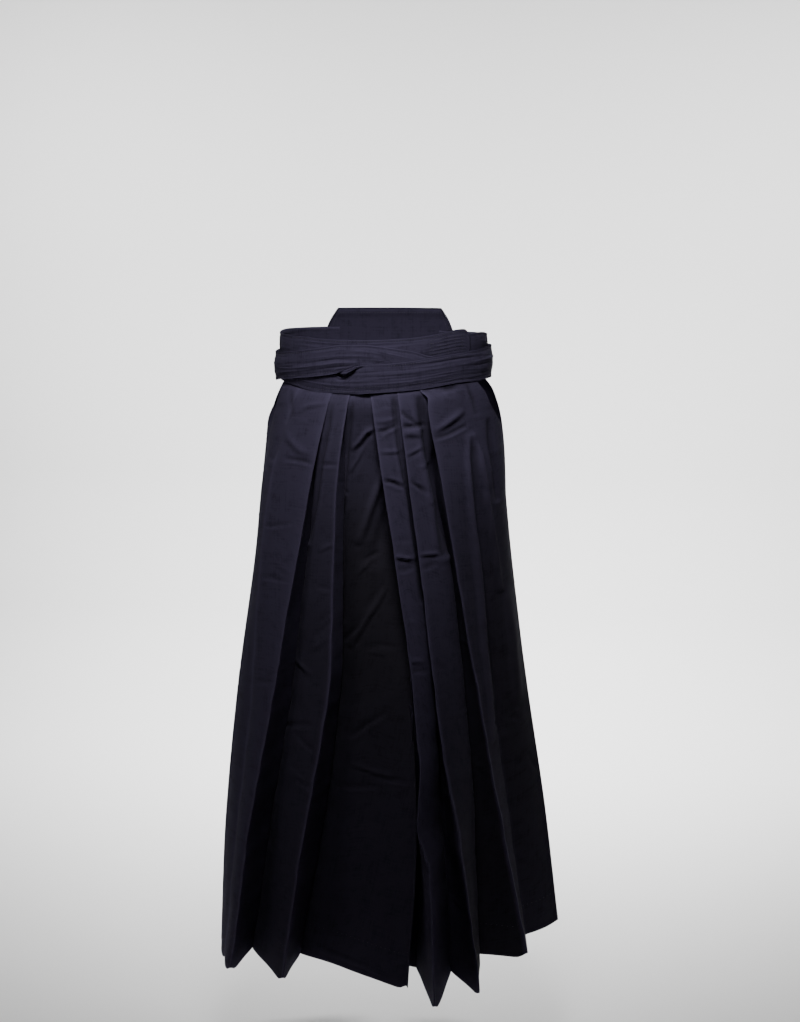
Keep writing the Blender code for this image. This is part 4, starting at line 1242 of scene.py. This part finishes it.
def strap(table, columns, rows):
    """Grid of points of a strip round the waist; the first row is its upper edge."""
    table = np.array(table)
    angles = np.linspace(table[0, 0], table[-1, 0], columns)
    low, high, depth = (smooth(table[:, 0], table[:, k], angles) for k in (1, 2, 3))
    share = np.linspace(0, 1, rows)[:, None]
    grid = np.empty((rows, columns, 3))
    grid[..., :2] = waist_oval(angles, depth)[None]
    grid[..., 2] = high + (low - high) * share
    return grid, angles, share


print("rows of the wide ties", len(RIGHT_TIE), len(LEFT_TIE))

# %% [markdown]
# A strap's creases run along it. Each is given by where it starts and stops round the waist, its
# place across the strap at both ends, as a share from the upper edge, its half width in the same
# share, and its height. Finer pulls between them come from a seeded run. Both long edges are
# turned in and sewn, so they stand up as thin beads with a groove beside them.

# %% Straps
TIE_WIDTH = 0.046
FINE_PULLS = 60
EDGE_BEAD = (0.0006, 0.0008, 0.0014)
STITCH_GROOVE = (-0.0003, 0.0046, 0.0011)
FULL_MIDDLE = 0.0010
SIDE_ANGLE = 86
SIDE_SPREAD = 24


def strap_lift(angles, share, width, creases, seed, fine, side_swell, from_top=True):
    """Height of a strap's surface over its plain form, from its width round the waist."""
    chance = np.random.default_rng(seed)
    rows = list(creases)
    for pull in range(FINE_PULLS):
        start = chance.uniform(angles[0], angles[-1] - 20)
        place = chance.uniform(0.08, 0.92)
        rows.append((start, start + chance.uniform(14, 60), place, place + chance.uniform(-0.08, 0.08),
                     chance.uniform(0.010, 0.024), chance.uniform(-fine, fine)))
    below, above = share * width[None], (1 - share) * width[None]
    place = below / TIE_WIDTH if from_top else 1 - above / TIE_WIDTH
    total = np.zeros((len(share), len(angles)))
    for start, stop, share_start, share_stop, spread, height in rows:
        t = (angles - start) / (stop - start)
        line = share_start + (share_stop - share_start) * t
        fade = np.sin(np.clip(t, 0, 1) * math.pi) ** 0.6
        total += height * fade[None] * unit_bell(place - line[None], spread)
    inward = np.minimum(below, above)
    for height, distance, spread in (EDGE_BEAD, STITCH_GROOVE):
        total += height * unit_bell(inward - distance, spread)
    total += FULL_MIDDLE * np.sin(math.pi * share)
    swell = unit_bell(np.abs(angles) - SIDE_ANGLE, SIDE_SPREAD)
    return total + side_swell * swell * np.sin(math.pi * np.clip(share, 0.15, 0.85))


print("fine pulls in each strap", FINE_PULLS)

# %% [markdown]
# The wide ties carry the deepest creases, since they're pulled tight and knotted at the front.
# They also bulge at the sides, where the waist turns most. The first pass and the band lie flat.

# %% Ties and band
RIGHT_TIE_CREASES = (
    (-52, 14, 0.58, 0.66, 0.055, 0.00104), (-58, 0, 0.44, 0.50, 0.045, -0.00048),
    (-100, -14, 0.74, 0.66, 0.040, 0.0004), (-40, 20, 0.14, 0.30, 0.035, 0.0004),
    (-34, 4, 0.36, 0.40, 0.030, 0.0004), (-82, -40, 0.88, 0.90, 0.030, -0.0004),
    (-24, -11, 0.84, 0.70, 0.030, 0.00096), (-21, -10, 0.94, 0.78, 0.022, -0.00112),
    (-70, -16, 0.97, 0.93, 0.040, 0.0008), (-130, -60, 0.5, 0.36, 0.050, 0.00048))
LEFT_TIE_CREASES = (
    (-4, 110, 0.12, 0.10, 0.030, 0.00056), (0, 60, 0.26, 0.20, 0.045, -0.00064),
    (2, 85, 0.42, 0.38, 0.035, 0.00048), (-14, 40, 0.54, 0.60, 0.040, -0.0004),
    (-55, 25, 0.72, 0.74, 0.030, 0.0004), (-28, 6, 0.62, 0.54, 0.040, 0.00056),
    (52, 100, 0.36, 0.26, 0.028, 0.00136), (58, 96, 0.48, 0.42, 0.040, -0.0008),
    (-70, -12, 0.46, 0.40, 0.060, -0.00096), (20, 130, 0.80, 0.74, 0.030, -0.0004))
QUILT_ROWS = [0.16 + 0.105 * row for row in range(6)]
BAND_CREASES = [(-50, 20, 0.22, 0.20, 0.04, -0.0006), (5, 34, 0.50, 0.72, 0.05, -0.0010)]
BAND_CREASES += [(26, 57, share, share, 0.018, -0.0005) for share in QUILT_ROWS]
STRAPS = (
    ("tie_right_cloth", "back_tie_right", RIGHT_TIE, 300, 0.0019, RIGHT_TIE_CREASES, 0.0006, 0.0030),
    ("tie_left_cloth", "back_tie_left", LEFT_TIE, 320, 0.0019, LEFT_TIE_CREASES, 0.0006, 0.0030),
    ("front_tie_right_cloth", "front_tie_right", RIGHT_FIRST_PASS, 110, 0.0020, (), 0.0004, 0),
    ("front_tie_left_cloth", "front_tie_left", LEFT_FIRST_PASS, 110, 0.0020, (), 0.0004, 0),
    ("band_cloth", "front_waistband", FRONT_BAND, 180, 0.0020, BAND_CREASES, 0.0003, 0),
)
STRAP_ROWS = 41
STRAP_EDGE_WEAR_AND_HIGHLIGHT = 0.5
straps = {}
for number, (name, node, table, columns, thickness, creases, fine, side_swell) in enumerate(STRAPS):
    grid, angles, share = strap(table, columns, STRAP_ROWS)
    width = grid[0, :, 2] - grid[-1, :, 2]
    from_top = name != "tie_left_cloth"
    lift = strap_lift(angles, share, width, creases, 40 + number, fine, side_swell, from_top)
    # Both long edges painted paler, partly wear and partly painted highlight
    strap_wear_and_highlight = STRAP_EDGE_WEAR_AND_HIGHLIGHT * unit_bell(np.minimum(share, 1 - share) - 0.01, 0.03)
    straps[name] = shell(name, grid, thickness, -lift, MATERIALS["tie"],
                         edge_round=True, wear_and_highlight=strap_wear_and_highlight)
    straps[name]["angles"] = angles
    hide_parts(node)

# %% [markdown]
# The ties are sewn along both edges. The left end of the band carries a box of quilting: six rows
# of running stitch, crossed by five upright ones, which stiffen it where the ties are pulled.

# %% Stitching on the ties and the band
TIE_STITCH = 0.0026
TIE_PITCH = 0.0042


def along_strap(name, angle_start, angle_stop, share_start, share_stop, count=60):
    """Points of a line on a strap, by its angles and its shares across, from start to stop."""
    strap_made = straps[name]
    angles = strap_made["angles"]
    columns = (np.linspace(angle_start, angle_stop, count) - angles[0]) / (angles[-1] - angles[0])
    return surface_line(strap_made["outer"], np.linspace(share_start, share_stop, count), columns)


tie_rows = {
    "tie_right_cloth": [along_strap("tie_right_cloth", -130, -18, 0.10, 0.10, 200),
                        along_strap("tie_right_cloth", -130, -20, 0.90, 0.90, 200)],
    "tie_left_cloth": [along_strap("tie_left_cloth", -60, 130, 0.90, 0.90, 300),
                       along_strap("tie_left_cloth", -30, 130, 0.78, 0.79, 300),
                       along_strap("tie_left_cloth", 6, 130, 0.10, 0.10, 200)],
    "band_cloth": [along_strap("band_cloth", -56, 57, 0.07, 0.07, 200)],
}
for share in QUILT_ROWS:
    tie_rows["band_cloth"].append(along_strap("band_cloth", 29, 54, share, share + 0.01))
for angle in (30.5, 35.7, 40.9, 46.1, 51.3):
    tie_rows["band_cloth"].append(along_strap("band_cloth", angle, angle + 0.6, 0.14, 0.72))
for name, rows in tie_rows.items():
    thread_name = name.replace("cloth", "stitches")
    straps[name]["thread"] = stitches(thread_name, rows, TIE_STITCH, TIE_PITCH)
for name, strap_made in straps.items():
    thread = [strap_made["thread"]] if "thread" in strap_made else []

# %% [markdown]
# The back board is a stiff trapezoid in a stitched cover. It stands above the back ties and leans
# off the back at its top. Rows of the table give a height, half its angle round the waist and
# how far it leans. Two shallow quilted lines cross it, and thread is sewn round both its faces.

# %% Back board
BOARD_ROWS = ((-0.012, 46.0, 0.0), (0.012, 42.6, 0.0), (0.036, 39.0, 0.0), (0.060, 35.0, 0.0),
              (0.080, 30.5, 0.0020))
BOARD_THICKNESS = 0.0056
QUILTED_LINES = (0.10, 0.80)
QUILT_DEPTH = 0.0006
PADDING = 0.0008
BOARD_PITCH = 0.0044
table = np.array(BOARD_ROWS)
down_board = np.linspace(0, 1, 31)[:, None]
across_board = np.linspace(-1, 1, 81)[None]
levels = np.linspace(table[-1, 0], table[0, 0], 31)
half_angles = smooth(table[:, 0], table[:, 1], levels)
leans = smooth(table[:, 0], table[:, 2], levels)
board_grid = np.empty((31, 81, 3))
board_grid[..., :2] = waist_oval(180 + half_angles[:, None] * across_board, BOARD_LAYER + leans[:, None])
board_grid[..., 2] = levels[:, None]
quilting = PADDING * np.sin(math.pi * down_board) * np.cos(math.pi / 2 * across_board)
for level in QUILTED_LINES:
    quilting -= QUILT_DEPTH * unit_bell(down_board - level, 0.025)
board = shell("board_cloth_cover", board_grid, BOARD_THICKNESS, -quilting, MATERIALS["board"],
              edge_round=True)
board_rows = []
for face in ("outer", "inner"):
    for share in (0.09, 0.80):
        board_rows.append(surface_line(board[face], share, np.linspace(0.04, 0.96, 120)))
    for share in (0.035, 0.965):
        board_rows.append(surface_line(board[face], np.linspace(0.09, 0.80, 60), share))
stitches("board_stitches", board_rows, TIE_STITCH, BOARD_PITCH)
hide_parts("koshi_board")

# %% [markdown]
# Where the ties pass each other the cloth is rolled into a small twist. It is a ribbed roll whose
# path is given by its angle round the waist, its height and its half thickness. The ribs turn as
# they go along, as in cloth that is wrung. It lies flatter than round, pressed on the ties.

# %% Twist
TWIST = ((-18.6, -0.0112, 0.0008), (-17.0, -0.0102, 0.0030), (-15.0, -0.0086, 0.0038),
         (-13.0, -0.0054, 0.0032), (-11.0, -0.0022, 0.0020), (-8.6, 0.0002, 0.0013),
         (-6.0, 0.0012, 0.0006))
table = np.array(TWIST)
STEPS = 70
SIDES = 36
RIDGES = 5
SMALL_RIDGES = 9
PRESSED_FLAT = 0.62
steps = np.linspace(table[0, 0], table[-1, 0], STEPS)
heights = smooth(table[:, 0], table[:, 1], steps)
radii = smooth(table[:, 0], table[:, 2], steps)
turn = np.linspace(0, 2 * math.pi, SIDES + 1)[:-1]
centre = waist_oval(steps, 0.0006)
outward = unit(centre)
rings = []
for k in range(STEPS):
    ribs = 0.20 * np.cos(RIDGES * turn + 0.10 * k) + 0.07 * np.cos(SMALL_RIDGES * turn - 0.13 * k)
    level = radii[k] * (1 + ribs)
    out = PRESSED_FLAT * level * np.cos(turn)
    rings.append(np.stack((centre[k, 0] + outward[k, 0] * out, centre[k, 1] + outward[k, 1] * out,
                           heights[k] + level * np.sin(turn)), axis=1))
points = np.concatenate(rings)
faces = [(k * SIDES + j, k * SIDES + (j + 1) % SIDES, (k + 1) * SIDES + (j + 1) % SIDES, (k + 1) * SIDES + j)
         for k in range(STEPS - 1) for j in range(SIDES)]
faces += [tuple(range(SIDES))[::-1], tuple((STEPS - 1) * SIDES + j for j in range(SIDES))]
twist_mesh = bpy.data.meshes.new("twist_cloth")
twist_mesh.from_pydata(points.tolist(), [], faces)
layer = twist_mesh.uv_layers.new(name="cloth")
measure = [(0.0021 * (v // SIDES), 0.0006 * (v % SIDES)) for v in range(len(points))]
for loop in twist_mesh.loops:
    layer.data[loop.index].uv = measure[loop.vertex_index]
twist = placed("twist_cloth", twist_mesh, MATERIALS["tie"])
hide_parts("tie_twist")
print("twist", len(points))
